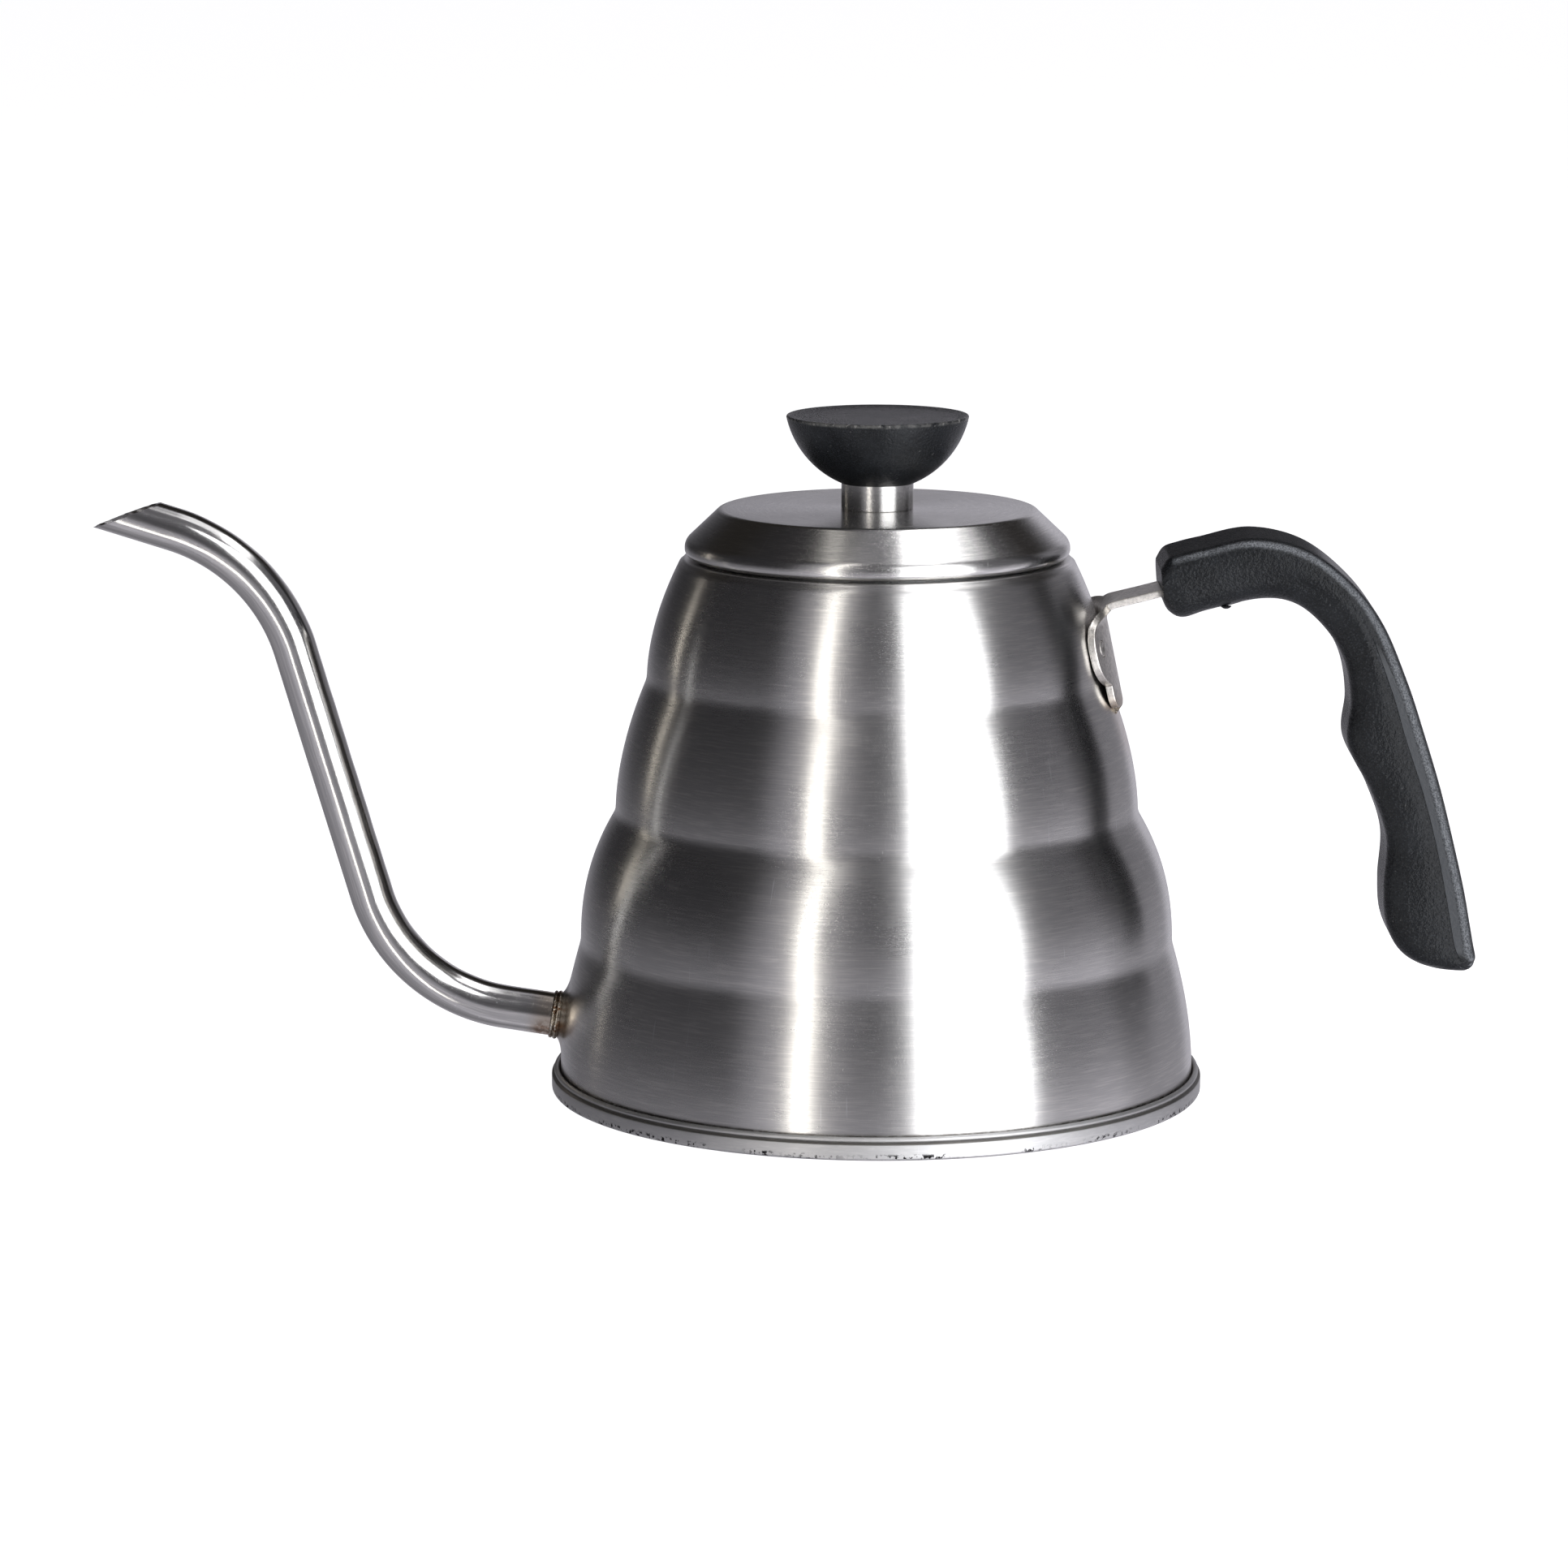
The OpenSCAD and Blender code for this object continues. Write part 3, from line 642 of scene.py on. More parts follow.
# ---- Vessel: lathe of its profile, with the spout's collar drawn out of the wall ----


def wall_r(z):
    """Radius of the four tiers at a height."""
    z = min(max(z, CREASES[0][1]), LEDGE_Z)
    tier = next((k for k in range(3) if z < CREASES[k + 1][1]), 3)
    (low_r, low_z), (high_r, high_z) = CREASES[tier], CREASES[tier + 1]
    up = (z - low_z) / (high_z - low_z)
    return high_r + (low_r - high_r) * (1 - up ** FULLNESS[tier])


def eased_r(z):
    """The tiers with their creases eased, as sheet steel follows them."""
    return (wall_r(z - EASE) + 2 * wall_r(z) + wall_r(z + EASE)) / 4


root_dir = np.array([-math.cos(ROOT_RISE), math.sin(ROOT_RISE)])
collar_end = KNEE + root_dir * (COLLAR_X + KNEE[0]) / math.cos(ROOT_RISE)
AXIS = np.array([root_dir[0], 0, root_dir[1]])
SIDE = np.array([0, 1, 0])
UP = np.array([math.sin(ROOT_RISE), 0, math.cos(ROOT_RISE)])
COLLAR = np.array([collar_end[0], 0, collar_end[1]])

WALL_ROWS = 104
SHOULDER_ROUND = 0.9
PATCH_COLUMNS = 6
PATCH_LOW_Z = 6.8
PATCH_HIGH_Z = 27.5
PATCH_RINGS = 16
FLARE_REACH = 4.2
FLARE_H = 1.7
FLARE_TAIL = 0.14


def collar_ring(a, b, inset, lift):
    """The point of the wall that lies on a line along the spout's root axis, raised by lift."""
    start = COLLAR + a * SIDE + b * UP
    reach = -2.0
    # Each round steps by the gap that is left, and 14 close it
    for _ in range(14):
        p = start + reach * AXIS
        reach -= (math.hypot(p[0], p[1]) - (eased_r(p[2]) - inset)) / 0.97
    return start + (reach + lift) * AXIS


def flare(d, reach):
    """How far the wall is drawn out at distance d from the root axis."""
    near = max(0, min(1, (SPOUT_R + FLARE_REACH - d) / FLARE_REACH))
    far = max(0, 1 - (d - SPOUT_R) / (reach - SPOUT_R))
    lip = 1 - math.sqrt(1 - near**2)
    return FLARE_H * lip * (1 - FLARE_TAIL) + FLARE_H * FLARE_TAIL * far**2


def make_vessel():
    """Lathed wall, with a window in each skin that a patch of rings fills up to the spout."""
    heights = np.linspace(RIM_H, LEDGE_Z - SHOULDER_ROUND, WALL_ROWS + 1)
    outside = [(eased_r(z), z) for z in heights]
    inside = [(eased_r(z) - SHEET_T, z) for z in heights[::-1]]
    mid = SHOULDER_R - SHOULDER_ROUND
    # Shoulder, ledge, and the neck turned down inside it
    top = arc((mid, LEDGE_Z - SHOULDER_ROUND), SHOULDER_ROUND, 0, 90, 5)[1:]
    top += arc((NECK_R + 0.8, LEDGE_Z - 0.8), 0.8, 90, 180, 5)
    top += [(NECK_R, LEDGE_Z - NECK_H), (NECK_R + SHEET_T, LEDGE_Z - NECK_H)]
    top += [(NECK_R + SHEET_T, LEDGE_Z - SHEET_T - 0.4), (NECK_R + 1.2, LEDGE_Z - SHEET_T)]
    top += [(mid - 0.4, LEDGE_Z - SHEET_T)]
    foot = [(FOOT_R - SHEET_T, 1.7), (FOOT_R, 1.7)]
    profile = outside + top + inside + foot
    points, _ = lathe(profile)
    rows = np.arange(len(points)).reshape(-1, TURN_STEPS).tolist()

    first = int(np.searchsorted(heights, PATCH_LOW_Z))
    last = int(np.searchsorted(heights, PATCH_HIGH_Z))
    left = TURN_STEPS // 2 - PATCH_COLUMNS
    right = TURN_STEPS // 2 + PATCH_COLUMNS
    inner_row = len(outside) + len(top) + WALL_ROWS
    skip = {(row, i) for j in range(first, last) for row in (j, inner_row - j - 1)
            for i in range(left, right)}
    faces = grid_faces(rows, wrap_rows=True, skip=skip)

    def border(row_of):
        """Vertex numbers round the window that the patch fills."""
        cells = [(first, i) for i in range(left, right)]
        cells += [(j, right) for j in range(first, last)]
        cells += [(last, i) for i in range(right, left, -1)]
        cells += [(j, left) for j in range(last, first, -1)]
        return [rows[row_of(j)][i] for j, i in cells]

    def patch(loop, hole_r, inset, raised):
        """Rings from the window's border to the hole. Gives the last one and its directions."""
        offsets = [np.array(points[v]) - COLLAR for v in loop]
        flat = [(offset @ SIDE, offset @ UP) for offset in offsets]
        grid = [loop]
        for k in range(1, PATCH_RINGS + 1):
            share = 1 - (1 - k / PATCH_RINGS) ** 1.6
            ring = []
            for a, b in flat:
                reach = math.hypot(a, b)
                d = reach + (hole_r - reach) * share
                lift = flare(d, reach) if raised else 0
                ring.append(len(points))
                points.append(tuple(collar_ring(a * d / reach, b * d / reach, inset, lift)))
            grid.append(ring)
        faces.extend(grid_faces(grid))
        return grid[-1], [(a / math.hypot(a, b), b / math.hypot(a, b)) for a, b in flat]

    outer_ring, directions = patch(border(lambda j: j), SPOUT_R, 0, True)
    inner_ring, _ = patch(border(lambda j: inner_row - j), BORE_R, SHEET_T, False)
    ends = []
    for radius in (SPOUT_R, BORE_R):
        ends.append([len(points) + i for i in range(len(directions))])
        points.extend(tuple(COLLAR + radius * (a * SIDE + b * UP)) for a, b in directions)
    faces.extend(grid_faces([outer_ring, ends[0], ends[1], inner_ring]))
    mesh_piece("vessel_body", points, faces, vessel_steel, ["body_shell"],
               grain=around_grain(points))


make_vessel()


# ---- Base pan: flat band, step, rolled bead and groove ----

BAND_H = 3.6
PAN_ROUND = 0.7
PAN_INNER_R = FOOT_R + 0.05
profile = [(0, 0), (BASE_R * 0.5, 0)]
profile += arc((BASE_R - PAN_ROUND, PAN_ROUND), PAN_ROUND, -90, 0, 5)
profile += line((BASE_R, PAN_ROUND), (BASE_R, BAND_H - 0.35), 3)
profile += arc((BASE_R - 0.35, BAND_H - 0.35), 0.35, 0, 70, 4)
profile += arc((BASE_R - 1.15, BAND_H + 0.75), 0.62, -60, 150, 10)
profile += [(PAN_INNER_R + 0.12, BAND_H + 0.55), (PAN_INNER_R, BAND_H + 0.35)]
profile += [(PAN_INNER_R, 1.65), (BASE_R - 0.8, 1.65), (BASE_R - 0.8, 1.0), (0, 1.0)]
turned_piece("base_ring", profile, base_steel, ["base_pan"])


# ---- Spout: tube swept along straight runs and bends, cut across at the tip ----

riser_dir = np.array([-math.sin(RISER_LEAN), math.cos(RISER_LEAN)])
tip_dir = np.array([-math.cos(TIP_RISE), math.sin(TIP_RISE)])
high_knee = KNEE + RISER_L * riser_dir
low_sweep = math.pi / 2 - ROOT_RISE - RISER_LEAN
high_sweep = math.pi / 2 - TIP_RISE - RISER_LEAN
low_trim = LOW_BEND_R * math.tan(low_sweep / 2)
high_trim = HIGH_BEND_R * math.tan(high_sweep / 2)
tip_start = high_knee + high_trim * tip_dir
BEND_STEPS = 40


def bend(corner, trim, into, out, sweep, radius):
    """Centre line points and directions of a bend between two straight runs."""
    start = corner - trim * into
    turn = 1 if into[0] * out[1] - into[1] * out[0] > 0 else -1
    side = turn * np.array([-into[1], into[0]])
    centre = start + radius * side
    route = []
    for k in range(BEND_STEPS + 1):
        a = sweep * k / BEND_STEPS
        outward = -side * math.cos(a) + into * math.sin(a)
        forward = into * math.cos(a) + side * math.sin(a)
        route.append((centre + radius * outward, forward))
    return route


def make_spout():
    """Outer and inner skin in rings along the centre line, both ending on the cut lip."""
    route = [(collar_end + (KNEE - low_trim * root_dir - collar_end) * k / 8, root_dir)
             for k in range(8)]
    route += bend(KNEE, low_trim, root_dir, riser_dir, low_sweep, LOW_BEND_R)
    low_end = route[-1][0]
    high_start = high_knee - high_trim * riser_dir
    route += [(low_end + (high_start - low_end) * k / 30, riser_dir) for k in range(1, 30)]
    route += bend(high_knee, high_trim, riser_dir, tip_dir, high_sweep, HIGH_BEND_R)
    lip_normal = np.array([-math.sin(LIP_CUT), math.cos(LIP_CUT)])
    tip_normal = np.array([tip_dir[1], -tip_dir[0]])
    under = tip_start - SPOUT_R * tip_normal
    lip_point = under + tip_dir * (LIP_X + under[0]) / math.cos(TIP_RISE)
    sides = 56
    tip_rings = 14
    travelled = [0.0]
    for (p, _), (q, _) in zip(route, route[1:]):
        travelled.append(travelled[-1] + float(np.linalg.norm(q - p)))
    points, grain, skins = [], [], []
    angles = np.arange(sides) * 2 * math.pi / sides
    burr = np.random.default_rng(7).normal(0, 0.07, sides)
    for radius in (SPOUT_R, BORE_R):
        first = len(points)
        for (p, forward), s in zip(route, travelled):
            normal = np.array([forward[1], -forward[0]])
            # Drawing marks leave the outside of each bend very slightly uneven
            ripple = 0.035 * math.sin(s * 0.55) * math.sin(s * 0.21)
            for a in angles:
                r = radius + ripple * (1 + math.cos(a)) / 2
                lateral, up = r * math.sin(a), r * math.cos(a)
                points.append((p[0] + up * normal[0], lateral, p[1] + up * normal[1]))
                grain.append((s, lateral, up))
        for k in range(1, tip_rings + 1):
            for i, a in enumerate(angles):
                lateral, up = radius * math.sin(a), radius * math.cos(a)
                start = tip_start + up * tip_normal
                full = float((lip_point - start) @ lip_normal / (tip_dir @ lip_normal))
                full += burr[i] if k == tip_rings and radius == SPOUT_R else 0
                at = start + tip_dir * full * k / tip_rings
                points.append((at[0], lateral, at[1]))
                grain.append((travelled[-1] + full * k / tip_rings, lateral, up))
        skins.append(np.arange(first, len(points)).reshape(-1, sides).tolist())
    outer, inner = skins
    faces = grid_faces(outer) + grid_faces(inner)
    faces += grid_faces([outer[0], inner[0]]) + grid_faces([outer[-1], inner[-1]])
    mesh_piece("spout_gooseneck", points, faces, spout_steel, ["spout_tube"],
               grain=grain, sharp=45)


make_spout()


def on_root_axis(points):
    """Turns a shape made round Z onto the root axis, at the collar's end."""
    return [tuple(COLLAR + p[0] * UP + p[1] * SIDE + p[2] * AXIS) for p in points]


# Weld between collar and tube: two low beads with a seam between them
profile = [(SPOUT_R + 0.04, -1.0)] + arc((SPOUT_R + 0.12, -0.5), 0.5, -80, 80, 7)
profile += [(SPOUT_R + 0.22, 0.0)] + arc((SPOUT_R + 0.08, 0.42), 0.42, -75, 85, 7)
profile += [(SPOUT_R + 0.04, 0.9)]
points, faces = lathe(profile, closed=True, steps=72)
lumps = np.random.default_rng(3)
points = [tuple(np.array(p) * (1 + lumps.normal(0, 0.004), 1 + lumps.normal(0, 0.004), 1))
          if math.hypot(p[0], p[1]) > SPOUT_R + 0.3 else p for p in points]
mesh_piece("spout_weld_bead", on_root_axis(points), faces, weld_bead,
           ["spout_weld"], sharp=60)


# ---- Handle bracket: one strip, lofted from its tab through its plate and bend to its strap ----

bottom_r = eased_r(TAB_Z) + 0.05 + STRIP_T


def plate_face_r(z):
    """Radius of the plate's outer face at a height, in the middle plane."""
    return bottom_r - (z - TAB_Z) * math.tan(PLATE_LEAN)


plate_up = np.array([-math.sin(PLATE_LEAN), math.cos(PLATE_LEAN)])
plate_out = np.array([math.cos(PLATE_LEAN), math.sin(PLATE_LEAN)])
strap_dir = np.array([math.cos(STRAP_RISE), math.sin(STRAP_RISE)])
strap_up = np.array([-math.sin(STRAP_RISE), math.cos(STRAP_RISE)])
plate_foot = np.array([plate_face_r(TAB_Z) - STRIP_T / 2, TAB_Z])
plate_l = (BEND_START_Z - TAB_Z) / math.cos(PLATE_LEAN)
bend_centre = plate_foot + plate_l * plate_up + BEND_R * plate_out
bend_sweep = math.pi / 2 + PLATE_LEAN - STRAP_RISE
strap_start = bend_centre + BEND_R * strap_up
strap_matrix = Matrix.Translation(Vector((strap_start[0], 0, strap_start[1])) * MM)
strap_matrix = strap_matrix @ Matrix.Rotation(-STRAP_RISE, 4, "Y")
screw_matrix = strap_matrix @ Matrix.Translation(Vector((SCREW_AT, 0, 0)) * MM)


def strip_frame(s):
    """Mid point, outward normal, and how fully the strip wraps the vessel at length s."""
    if s <= plate_l:
        return plate_foot + s * plate_up, plate_out, 1.0
    bend_l = BEND_R * bend_sweep
    if s <= plate_l + bend_l:
        turned = (s - plate_l) / BEND_R
        inward = -plate_out * math.cos(turned) + plate_up * math.sin(turned)
        return bend_centre + BEND_R * inward, -inward, 1.0
    past = s - plate_l - bend_l
    return strap_start + past * strap_dir, -strap_up, 1 - smooth_step(past, 0, 6)


def length_at(z):
    """Length from the tab's end at which the strip's mid line reaches a height."""
    if z <= BEND_START_Z:
        return (z - TAB_Z) / math.cos(PLATE_LEAN)
    share = min((z - bend_centre[1]) / BEND_R, 1)
    return plate_l + BEND_R * (PLATE_LEAN + math.asin(share))


def strip_half_w(z):
    """Half width of the strip's outline: tab with round corners, rounded plate, strap."""
    corner = TAB_ROUND - min(z - TAB_Z, TAB_ROUND)
    tab = TAB_HALF_W - TAB_ROUND + math.sqrt(TAB_ROUND**2 - corner**2) if z < PLATE_MID_Z else 0
    offset = abs(z - PLATE_MID_Z) / PLATE_HALF_H
    plate = PLATE_HALF_W * (1 - offset**SQUARENESS) ** (1 / SQUARENESS) if offset < 1 else 0
    strap = STRAP_HALF_W if z > PLATE_MID_Z else 0
    return max(tab, plate, strap)


def strip_section(half_w, half_t, edge_r):
    """Outline of the strip across its width, as (lateral, outward), with rounded edges."""
    flat = half_w - edge_r
    # Points this close to each rounded edge keep the faces beside it flat
    keep = 0.12
    stops = [-flat] + list(np.linspace(-flat + keep, flat - keep, 18)) + [flat]
    side = half_t - edge_r
    half = [(y, half_t) for y in stops]
    half += arc((flat, side), edge_r, 90, 0, 4)[1:]
    half += [(half_w, side - keep), (half_w, keep - side)]
    half += arc((flat, -side), edge_r, 0, -90, 4)
    # The other half is the same, turned half round
    return half + [(-lateral, -out) for lateral, out in half[1:-1]]


def make_bracket():
    """Sections along the strip, close together where its outline turns."""
    bend_end = plate_l + BEND_R * bend_sweep
    heights = [TAB_Z + TAB_ROUND * (1 - math.cos(0.5 * math.pi * k / 9)) for k in range(10)]
    heights = [TAB_Z, TAB_Z + 0.12] + heights[1:]
    for k in range(-20, 21):
        swing = math.sin(0.5 * math.pi * k / 20)
        rise = math.copysign(abs(swing) ** (2 / SQUARENESS), swing)
        heights.append(PLATE_MID_Z + PLATE_HALF_H * rise)
    # Where the tab's sides meet the plate's outline
    heights += [92.2, 92.5, 92.8, 93.1]
    stations = [length_at(z) for z in heights if z >= TAB_Z]
    stations += list(np.linspace(plate_l, bend_end, 20))
    stations += list(np.linspace(bend_end, bend_end + STRAP_L, 14))
    stations = sorted(set(round(float(s), 3) for s in stations))
    rows, points = [], []
    for s in stations:
        centre, outward, wrapped = strip_frame(s)
        worn = max(0.0, 0.3 - s)
        half_w = strip_half_w(centre[1]) if s < bend_end else STRAP_HALF_W
        section = strip_section(half_w - worn, STRIP_T / 2 - worn * 0.5, 0.26)
        rows.append([len(points) + i for i in range(len(section))])
        for lateral, out in section:
            x, z = centre + out * outward
            drop = wrapped * (x - math.sqrt(x**2 - lateral**2))
            points.append((x - drop, lateral, z))
    faces = grid_faces(rows) + [rows[0][::-1], rows[-1]]
    bracket = mesh_piece("bracket_strip", points, faces, bracket_steel,
                         ["handle_bracket"], sharp=34)
    holes = [helper_cylinder(PLUG_R + 0.06, -2, 5, plug_matrix(side)) for side in (-1, 1)]
    cut_from(bracket, holes, sharp=34)


def plug_matrix(side):
    """Frame of a plug weld: Z points out of the plate."""
    turn = Matrix.Rotation(math.radians(side * PLUG_TURN), 4, "Z")
    place = Matrix.Translation(Vector((wall_r(PLUG_Z), 0, PLUG_Z)) * MM)
    return turn @ place @ Matrix.Rotation(math.pi / 2 - PLATE_LEAN, 4, "Y")


make_bracket()

plug_face = (plate_face_r(PLUG_Z) - wall_r(PLUG_Z)) * math.cos(PLATE_LEAN)
profile = [(0, 0.1), (PLUG_R - 0.1, 0.1), (PLUG_R, plug_face - 0.2)]
profile += arc((PLUG_R - 0.45, plug_face - 0.3), 0.42, 0, 90, 5)
profile += [(PLUG_R - 0.9, plug_face + 0.02), (0.5, plug_face - 0.12), (0, plug_face - 0.16)]
points, faces = lathe(profile, steps=40)
both_points, both_faces = [], []
for side in (-1, 1):
    shift = len(both_points)
    both_points += moved_by(plug_matrix(side), points)
    both_faces += [[v + shift for v in f] for f in faces]
mesh_piece("plate_plug_welds", both_points, both_faces, bracket_steel,
           ["bracket_plug_welds"])


# ---- Grip: loft between its rails, with a bevelled strip along its back edge ----

GRIP_STATIONS = 190
NOSE_NARROW = 1.6
NOSE_SHARE = 0.04
HEEL_NARROW = 3
HEEL_SHARE = 0.1
END_SHARE = 0.03
HEEL_START = 0.95
SLOT_GAP = 0.12


def rounding(t):
    """Quarter round: 0 at t = 0 and below, 1 at t = 1."""
    return 1 - math.sqrt(max(0, 1 - max(t, 0) ** 2))


def grip_section(height, half_w, strip):
    """Half outline from the middle of the back to the middle of the finger side.

    Points are (h, y, facet): h from the finger side up to the back, and facet is 1 on the
    smooth inner part of the bevel. strip from 0 to 1 says how much of the bevel shows between
    the back's corner and the side.
    """
    back_r = min(3.4 + 0.9 * strip, height * 0.42)
    finger_r = min(5.2, height * 0.5)
    lean = 24 * strip
    drop = 0.9 * strip
    facet_w = min(2.1, 0.12 * height) * strip
    top_y = half_w - back_r - drop
    outline = [(height, y) for y in np.linspace(0, top_y, 7)[:-1]]
    outline += arc((height - back_r, top_y), back_r, 0, 90 - lean, 10)
    slope = np.array([-math.cos(math.radians(lean)), math.sin(math.radians(lean))])
    start = np.array(outline[-1])
    bevel = range(len(outline), len(outline) + 3)
    outline += [tuple(start + slope * (facet_w * reach + 0.01)) for reach in (0.04, 0.5, 1)]
    side_top = np.array(outline[-1]) - (0.12, 0.16 * strip)
    side_low = np.array([finger_r, half_w - 0.3])
    for k in range(9):
        h, y = side_top + (side_low - side_top) * k / 9
        outline.append((h, y + 0.3 * math.sin(math.pi * k / 9)))
    outline += arc((finger_r, half_w - 0.3 - finger_r), finger_r, 90, 180, 10)
    outline += [(0, y) for y in np.linspace(half_w - 0.3 - finger_r, 0, 6)[1:]]
    return [(h, y, strip if i in bevel else 0) for i, (h, y) in enumerate(outline)]


def grip_shares():
    """Stations from nose to heel, as shares of the length, closer together at both ends."""
    eased = [0.5 * math.pi * k / 16 for k in range(16)]
    shares = [END_SHARE * (1 - math.cos(a)) for a in eased]
    shares += list(np.linspace(END_SHARE, HEEL_START, GRIP_STATIONS))
    return shares + [HEEL_START + 0.05 * math.sin(a) for a in eased[1:]] + [1]


def make_grip():
    """The loft, with a slot for the strap and a pocket for the screw cut out of it."""
    rows, points, facets = [], [], []
    for share in grip_shares():
        p, q = along(FINGER_RAIL, share), along(BACK_RAIL, share)
        height = float(np.linalg.norm(q - p))
        up = (q - p) / height
        half_w = GRIP_HALF_W - NOSE_NARROW * rounding(1 - share / NOSE_SHARE)
        half_w -= HEEL_NARROW * rounding(1 - (1 - share) / HEEL_SHARE)
        strip = smooth_step(share, 0.40, 0.50) * (1 - smooth_step(share, 0.86, 0.94))
        half = grip_section(height, half_w, strip)
        outline = half + [(h, -y, facet) for h, y, facet in half[-2:0:-1]]
        rows.append([len(points) + i for i in range(len(outline))])
        points += [(p[0] + up[0] * h, y, p[1] + up[1] * h) for h, y, _ in outline]
        facets += [(share, facet, 0) for _, _, facet in outline]
    faces = grid_faces(rows) + [rows[0][::-1], rows[-1]]
    grip = mesh_piece("grip_handle", points, faces, grip_plastic, ["grip"],
                      grain=facets, sharp=40)
    half_slot = STRAP_HALF_W + SLOT_GAP
    half_depth = STRIP_T / 2 + SLOT_GAP
    slot = [(x, y, z) for x in (-8, STRAP_L + SLOT_GAP) for y in (-half_slot, half_slot)
            for z in (-half_depth, half_depth)]
    slot_faces = [[0, 1, 3, 2], [4, 6, 7, 5], [0, 4, 5, 1], [2, 3, 7, 6], [0, 2, 6, 4], [1, 5, 7, 3]]
    pocket = helper_cylinder(POCKET_R, -12, -STRIP_T / 2 - 1.2, screw_matrix)
    cut_from(grip, [helper(slot, slot_faces, strap_matrix), pocket], sharp=40)


def make_pocket_ring():
    """Raised ring round the screw's pocket, measured down from the strap's middle."""
    outer_r = POCKET_R + 0.9
    profile = [(POCKET_R, -5.6), (POCKET_R, -6.45), (POCKET_R + 0.2, -6.58), (4.5, -6.58)]
    profile += [(outer_r, -6.4), (outer_r, -5.6)]
    points, faces = lathe(profile, closed=True, steps=64)
    mesh_piece("grip_pocket_ring", moved_by(screw_matrix, points), faces, ring_plastic,
               [])


def make_moulding_mark():
    """Small drop-shaped moulding mark under the grip's near edge."""
    mark = [(0.0, 1.0)] + [(r, z) for z, r in arc((0, 0), 1, 70, 0, 4)] + [(0.0, -0.6)]
    points, faces = lathe([(r, -z) for r, z in mark], steps=24)
    points = [(75.9 + 1.3 * x, y - 8.2, 109.1 + z) for x, y, z in points]
    mesh_piece("grip_moulding_mark", points, faces, ring_plastic, [])


make_grip()
make_pocket_ring()
make_moulding_mark()


# ---- Lid, ferrule and knob ----

RIM_ROUND = 3
LIP_ROUND = 1.6
rim_z = LEDGE_Z + 0.4 + LIP_ROUND


def lid_side(inset):
    """Crown, bevel and rim in section, moved inwards by inset."""
    side = arc((LID_TOP_R, LID_Z - CROWN_ROUND), CROWN_ROUND - inset, 90, BEVEL, 8)
    side += arc((LID_R - RIM_ROUND, rim_z + 0.3), RIM_ROUND - inset, BEVEL, 0, 12)
    side += arc((LID_R - LIP_ROUND, rim_z), LIP_ROUND - inset, 0, -90, 10)
    return side


lid_outside = [(2.4, LID_Z)] + line((2.4, LID_Z), (LID_TOP_R, LID_Z), 12) + lid_side(0)
lid_inside = [(2.4, LID_Z - LID_T)] + lid_side(LID_T)
lid_edge_r = LID_R - LIP_ROUND - 1
profile = lid_outside + [(lid_edge_r, rim_z - LIP_ROUND)]
profile += [(lid_edge_r, rim_z - LIP_ROUND + LID_T)] + lid_inside[::-1]
turned_piece("lid_shell", profile, lid_steel, ["lid_cap"], "lid", closed=True)

chamfer = 0.15
sleeve_r = FERRULE_R - 0.8
profile = [(FERRULE_R - chamfer, LID_Z), (FERRULE_R, LID_Z + chamfer)]
profile += line((FERRULE_R, LID_Z), (FERRULE_R, FERRULE_TOP), 5)
profile += [(FERRULE_R, FERRULE_TOP - chamfer), (FERRULE_R - chamfer, FERRULE_TOP)]
profile += [(sleeve_r, FERRULE_TOP), (sleeve_r, LID_Z)]
turned_piece("knob_collar", profile, ferrule_steel, ["knob_ferrule"],
             "lid", closed=True)

seat_z = FERRULE_TOP + 0.13
seat_r = FERRULE_R + 0.2
seat_angle = math.degrees(math.acos(seat_r / KNOB_SPHERE_R))
rim_angle = math.degrees(math.asin((KNOB_CENTRE_Z - KNOB_Z + 0.45) / KNOB_SPHERE_R))
boss_r = sleeve_r - 0.08
profile = [(2.3, LID_Z + 0.4), (boss_r, LID_Z + 0.4), (boss_r, seat_z)]
profile += [(seat_r - 0.4, seat_z)]
profile += arc((0, KNOB_CENTRE_Z), KNOB_SPHERE_R, -seat_angle, -rim_angle, 40)
profile += arc((KNOB_RIM_R - 0.38, KNOB_Z - 0.4), 0.4, 5, 90, 6)
profile += [(KNOB_RIM_R - 1.2, KNOB_Z - 0.12), (KNOB_RIM_R - 2.2, KNOB_Z - 0.3)]
profile += line((KNOB_RIM_R - 2.2, KNOB_Z - 0.3), (0, KNOB_Z - 0.42), 10)
profile += [(0, KNOB_Z - 0.42), (0, LID_Z + 14.8), (2.3, LID_Z + 14.8)]
turned_piece("knob_bowl", profile, knob_plastic, ["knob"], "knob",
             closed=True)


# ---- CAD nodes that are shown as they are ----

for node, material, slot in (
    ("tab_weld", weld_bead, "weld_metal"),
    ("grip_screw", fastener_steel, "fastener_steel"),
    ("lid_screw", fastener_steel, "fastener_steel"),
    ("lid_washer", fastener_steel, "fastener_steel"),
    ("lid_skirt", fastener_steel, "lid_steel"),
    ("knob_insert", insert_brass, "insert_brass"),
):
    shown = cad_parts[node]
    shown.data.materials.clear()
    shown.data.materials.append(material)


# ---- Studio: pale floor, soft boxes and a quiet room ----


def area_light(name, width, depth, radiance, colour, place, turn=(0, 0, 0)):
    """A lamp that glows evenly with a radiance and that the camera doesn't see."""
    data = bpy.data.lights.new(name, "AREA")
    data.shape = "RECTANGLE"
    data.size = width
    data.size_y = depth
    data.energy = radiance * math.pi * width * depth
    data.color = colour
    light = bpy.data.objects.new(name, data)
    light.location = place
    light.rotation_euler = turn
    light.visible_camera = False
    scene.collection.objects.link(light)


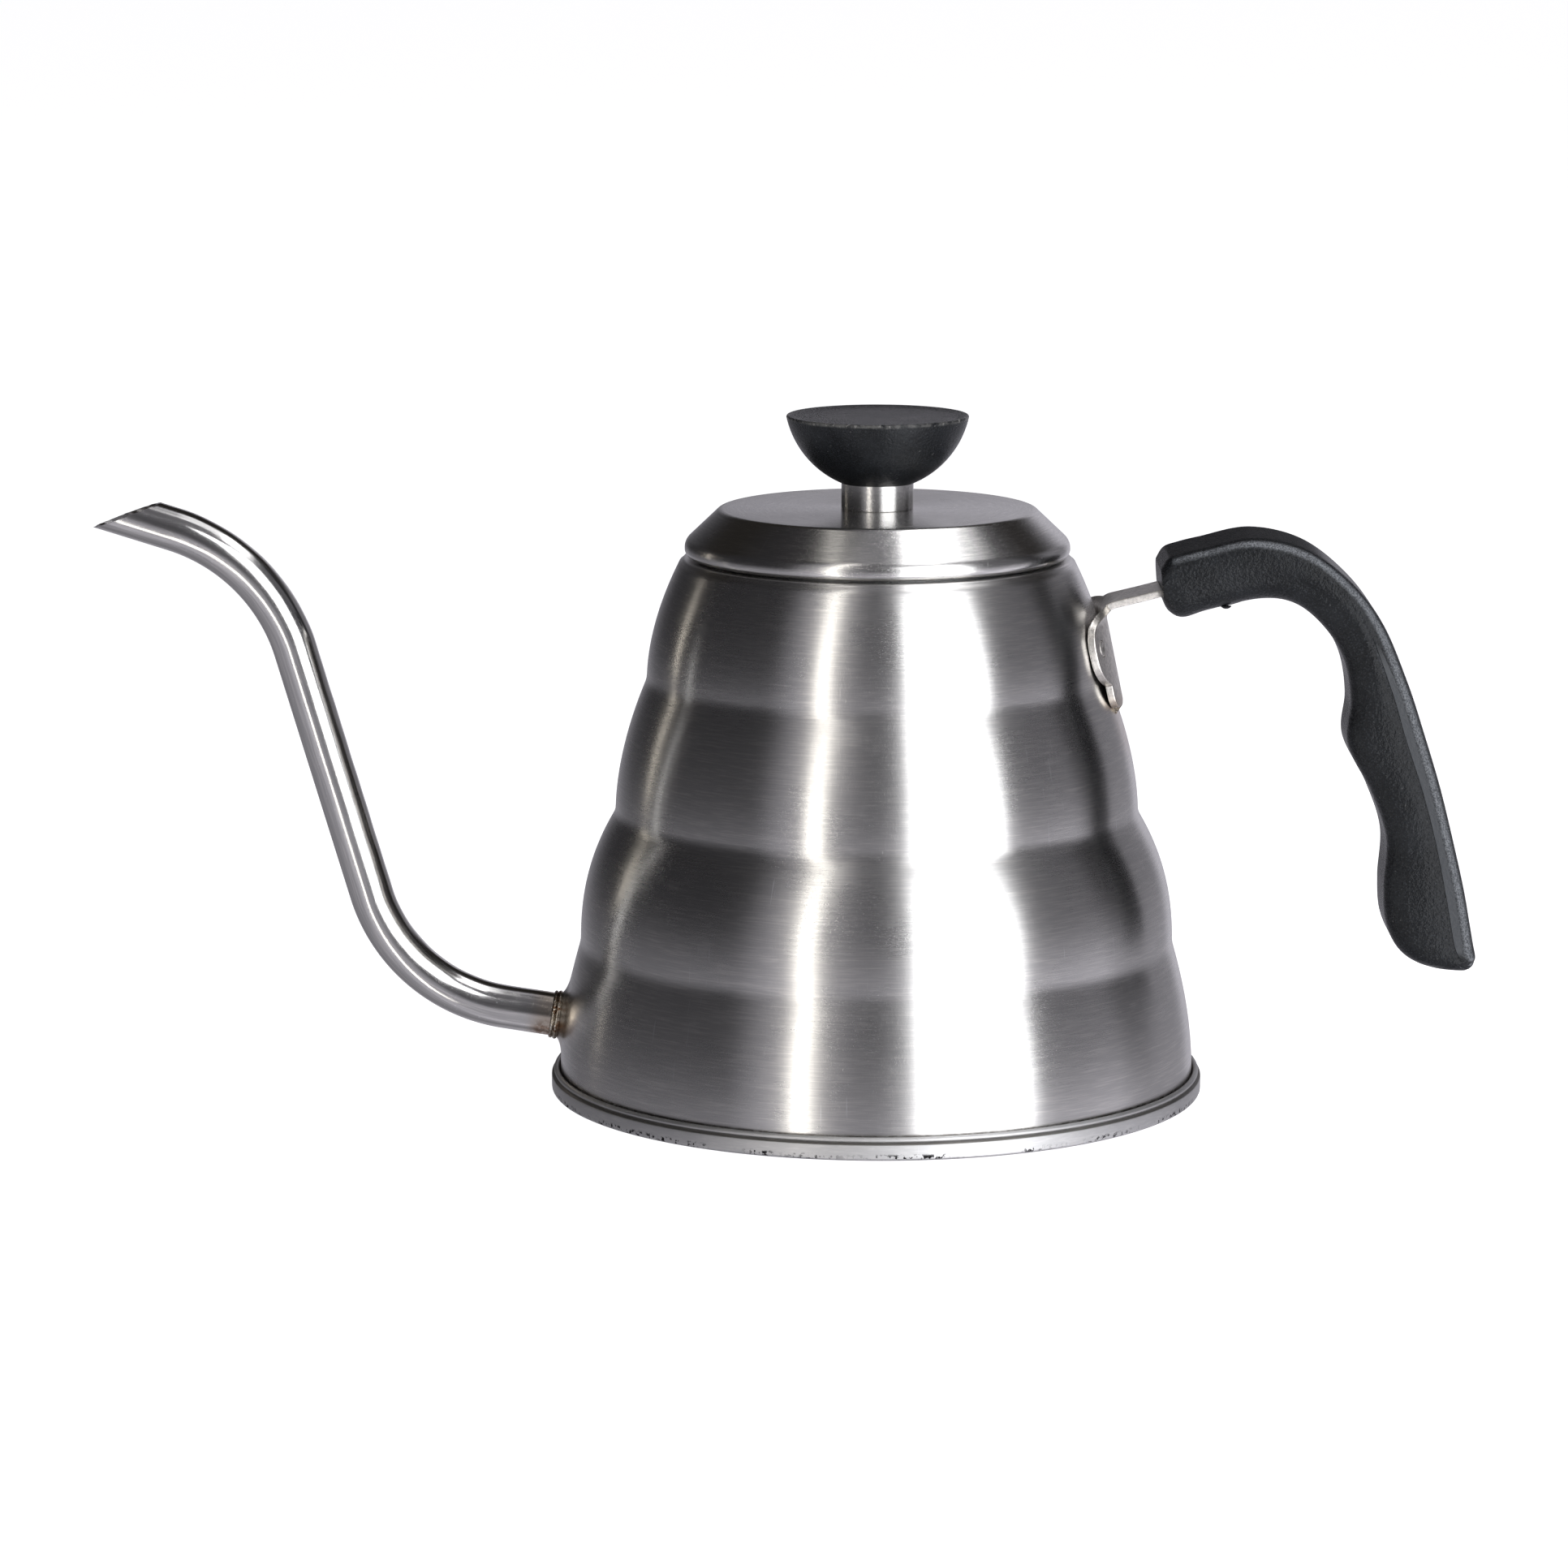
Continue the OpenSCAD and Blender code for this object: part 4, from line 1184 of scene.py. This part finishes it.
def softbox(name, azimuth, distance, width, low, high, radiance, colour):
    """Upright soft box. Azimuth 0 is the camera's side and 90 is +X."""
    a = math.radians(azimuth)
    place = (distance * math.sin(a), -distance * math.cos(a), (low + high) / 2)
    area_light(name, width, high - low, radiance, colour, place, (math.pi / 2, 0, a))


softbox("key_box", 34.5, 1.2, 0.95, -0.9, 1.35, 3.0, (0.97, 0.98, 1.0))
softbox("strip_box", -27.5, 1.2, 0.15, -0.9, 3.6, 3.0, (1.0, 0.97, 0.90))
softbox("back_left_strip", -120, 1.4, 0.035, 0.0, 0.5, 3.2, (1.0, 0.92, 0.80))
# These three shine straight down
area_light("top_box", 0.8, 0.9, 1.2, (0.98, 0.98, 1.0), (0.62, 0.1, 1.6))
area_light("handle_box", 0.11, 0.30, 3.0, (0.98, 0.98, 1.0), (0.115, -0.035, 0.46))
area_light("top_strip", 0.14, 0.7, 1.0, (1.0, 0.97, 0.92), (-0.42, -0.1, 1.6))

world = bpy.data.worlds.new("room")
scene.world = world
world.use_nodes = True
room = Graph(world.node_tree)
ROOM_TONE = (0.985, 0.965, 1.06)


def room_ring(turn, levels):
    """Glow all round. levels are (azimuth in degrees, brightness), from -180 to 180."""
    ring = room.node("ShaderNodeValToRGB", Fac=turn)
    stops = ring.color_ramp.elements
    while len(stops) < len(levels):
        stops.new(0.5)
    for stop, (azimuth, level) in zip(stops, levels):
        stop.position = azimuth / 360 + 0.5
        stop.color = tuple(level * c for c in ROOM_TONE) + (1,)
    return ring.outputs["Color"]


direction = room.split(room.node("ShaderNodeTexCoord").outputs["Generated"])
azimuth = room.math("ARCTAN2", direction["X"], room.times(direction["Y"], -1.0))
turn = room.plus(room.math("DIVIDE", azimuth, 2 * math.pi), 0.5)
walls = room_ring(turn, [
    (-180, 0.32), (-165, 0.10), (-150, 0.03), (-56, 0.03), (-42, 0.32), (-30, 0.42), (-18, 0.28),
    (-8, 0.12), (2, 0.08), (8, 0.15), (54, 0.20), (63, 0.13), (72, 0.12), (96, 0.14),
    (103, 0.03), (114, 0.03), (121, 0.24), (148, 0.22), (158, 0.62), (180, 0.45),
])
ground = room_ring(turn, [
    (-180, 0.50), (-160, 0.40), (-140, 0.24), (-56, 0.40), (-42, 0.60), (-30, 0.60), (-18, 0.45),
    (-8, 0.45), (2, 0.50), (8, 0.50), (54, 0.75), (63, 0.75), (98, 1.00), (106, 0.75),
    (116, 0.60), (124, 0.48), (148, 0.42), (160, 0.62), (180, 0.50),
])
glow = room.mix(room.ramp(direction["Z"], 0.05, -0.30), walls, ground)
# The room is dark high up behind the kettle
high_back = room.times(room.ramp(direction["Z"], 0.30, 0.50), room.ramp(direction["Y"], 0.2, 0.5))
glow = room.mix(high_back, glow, (0.02, 0.018, 0.016, 1))
seen = room.node("ShaderNodeLightPath").outputs["Is Camera Ray"]
backdrop = room.mix(seen, glow, (1, 1, 1, 1))
room.put(world.node_tree.nodes["Background"].inputs["Color"], backdrop)

FLOOR_HALF = 40
FLOOR_DROP = 0.0002
floor_mesh = bpy.data.meshes.new("floor")
corners = [(x * FLOOR_HALF, y * FLOOR_HALF, -FLOOR_DROP)
                 for x, y in ((-1, -1), (1, -1), (1, 1), (-1, 1))]
floor_mesh.from_pydata(corners, [], [(0, 1, 2, 3)])
floor = bpy.data.objects.new("floor", floor_mesh)
scene.collection.objects.link(floor)
floor_paper = Shader("floor_paper")
floor_paper.set(Base_Color=(0.9, 0.9, 0.9, 1), Roughness=0.9, Emission_Color=(1, 1, 1, 1),
                Emission_Strength=0.88)
floor_mesh.materials.append(floor_paper.material)
floor.visible_glossy = False
floor.visible_shadow = False
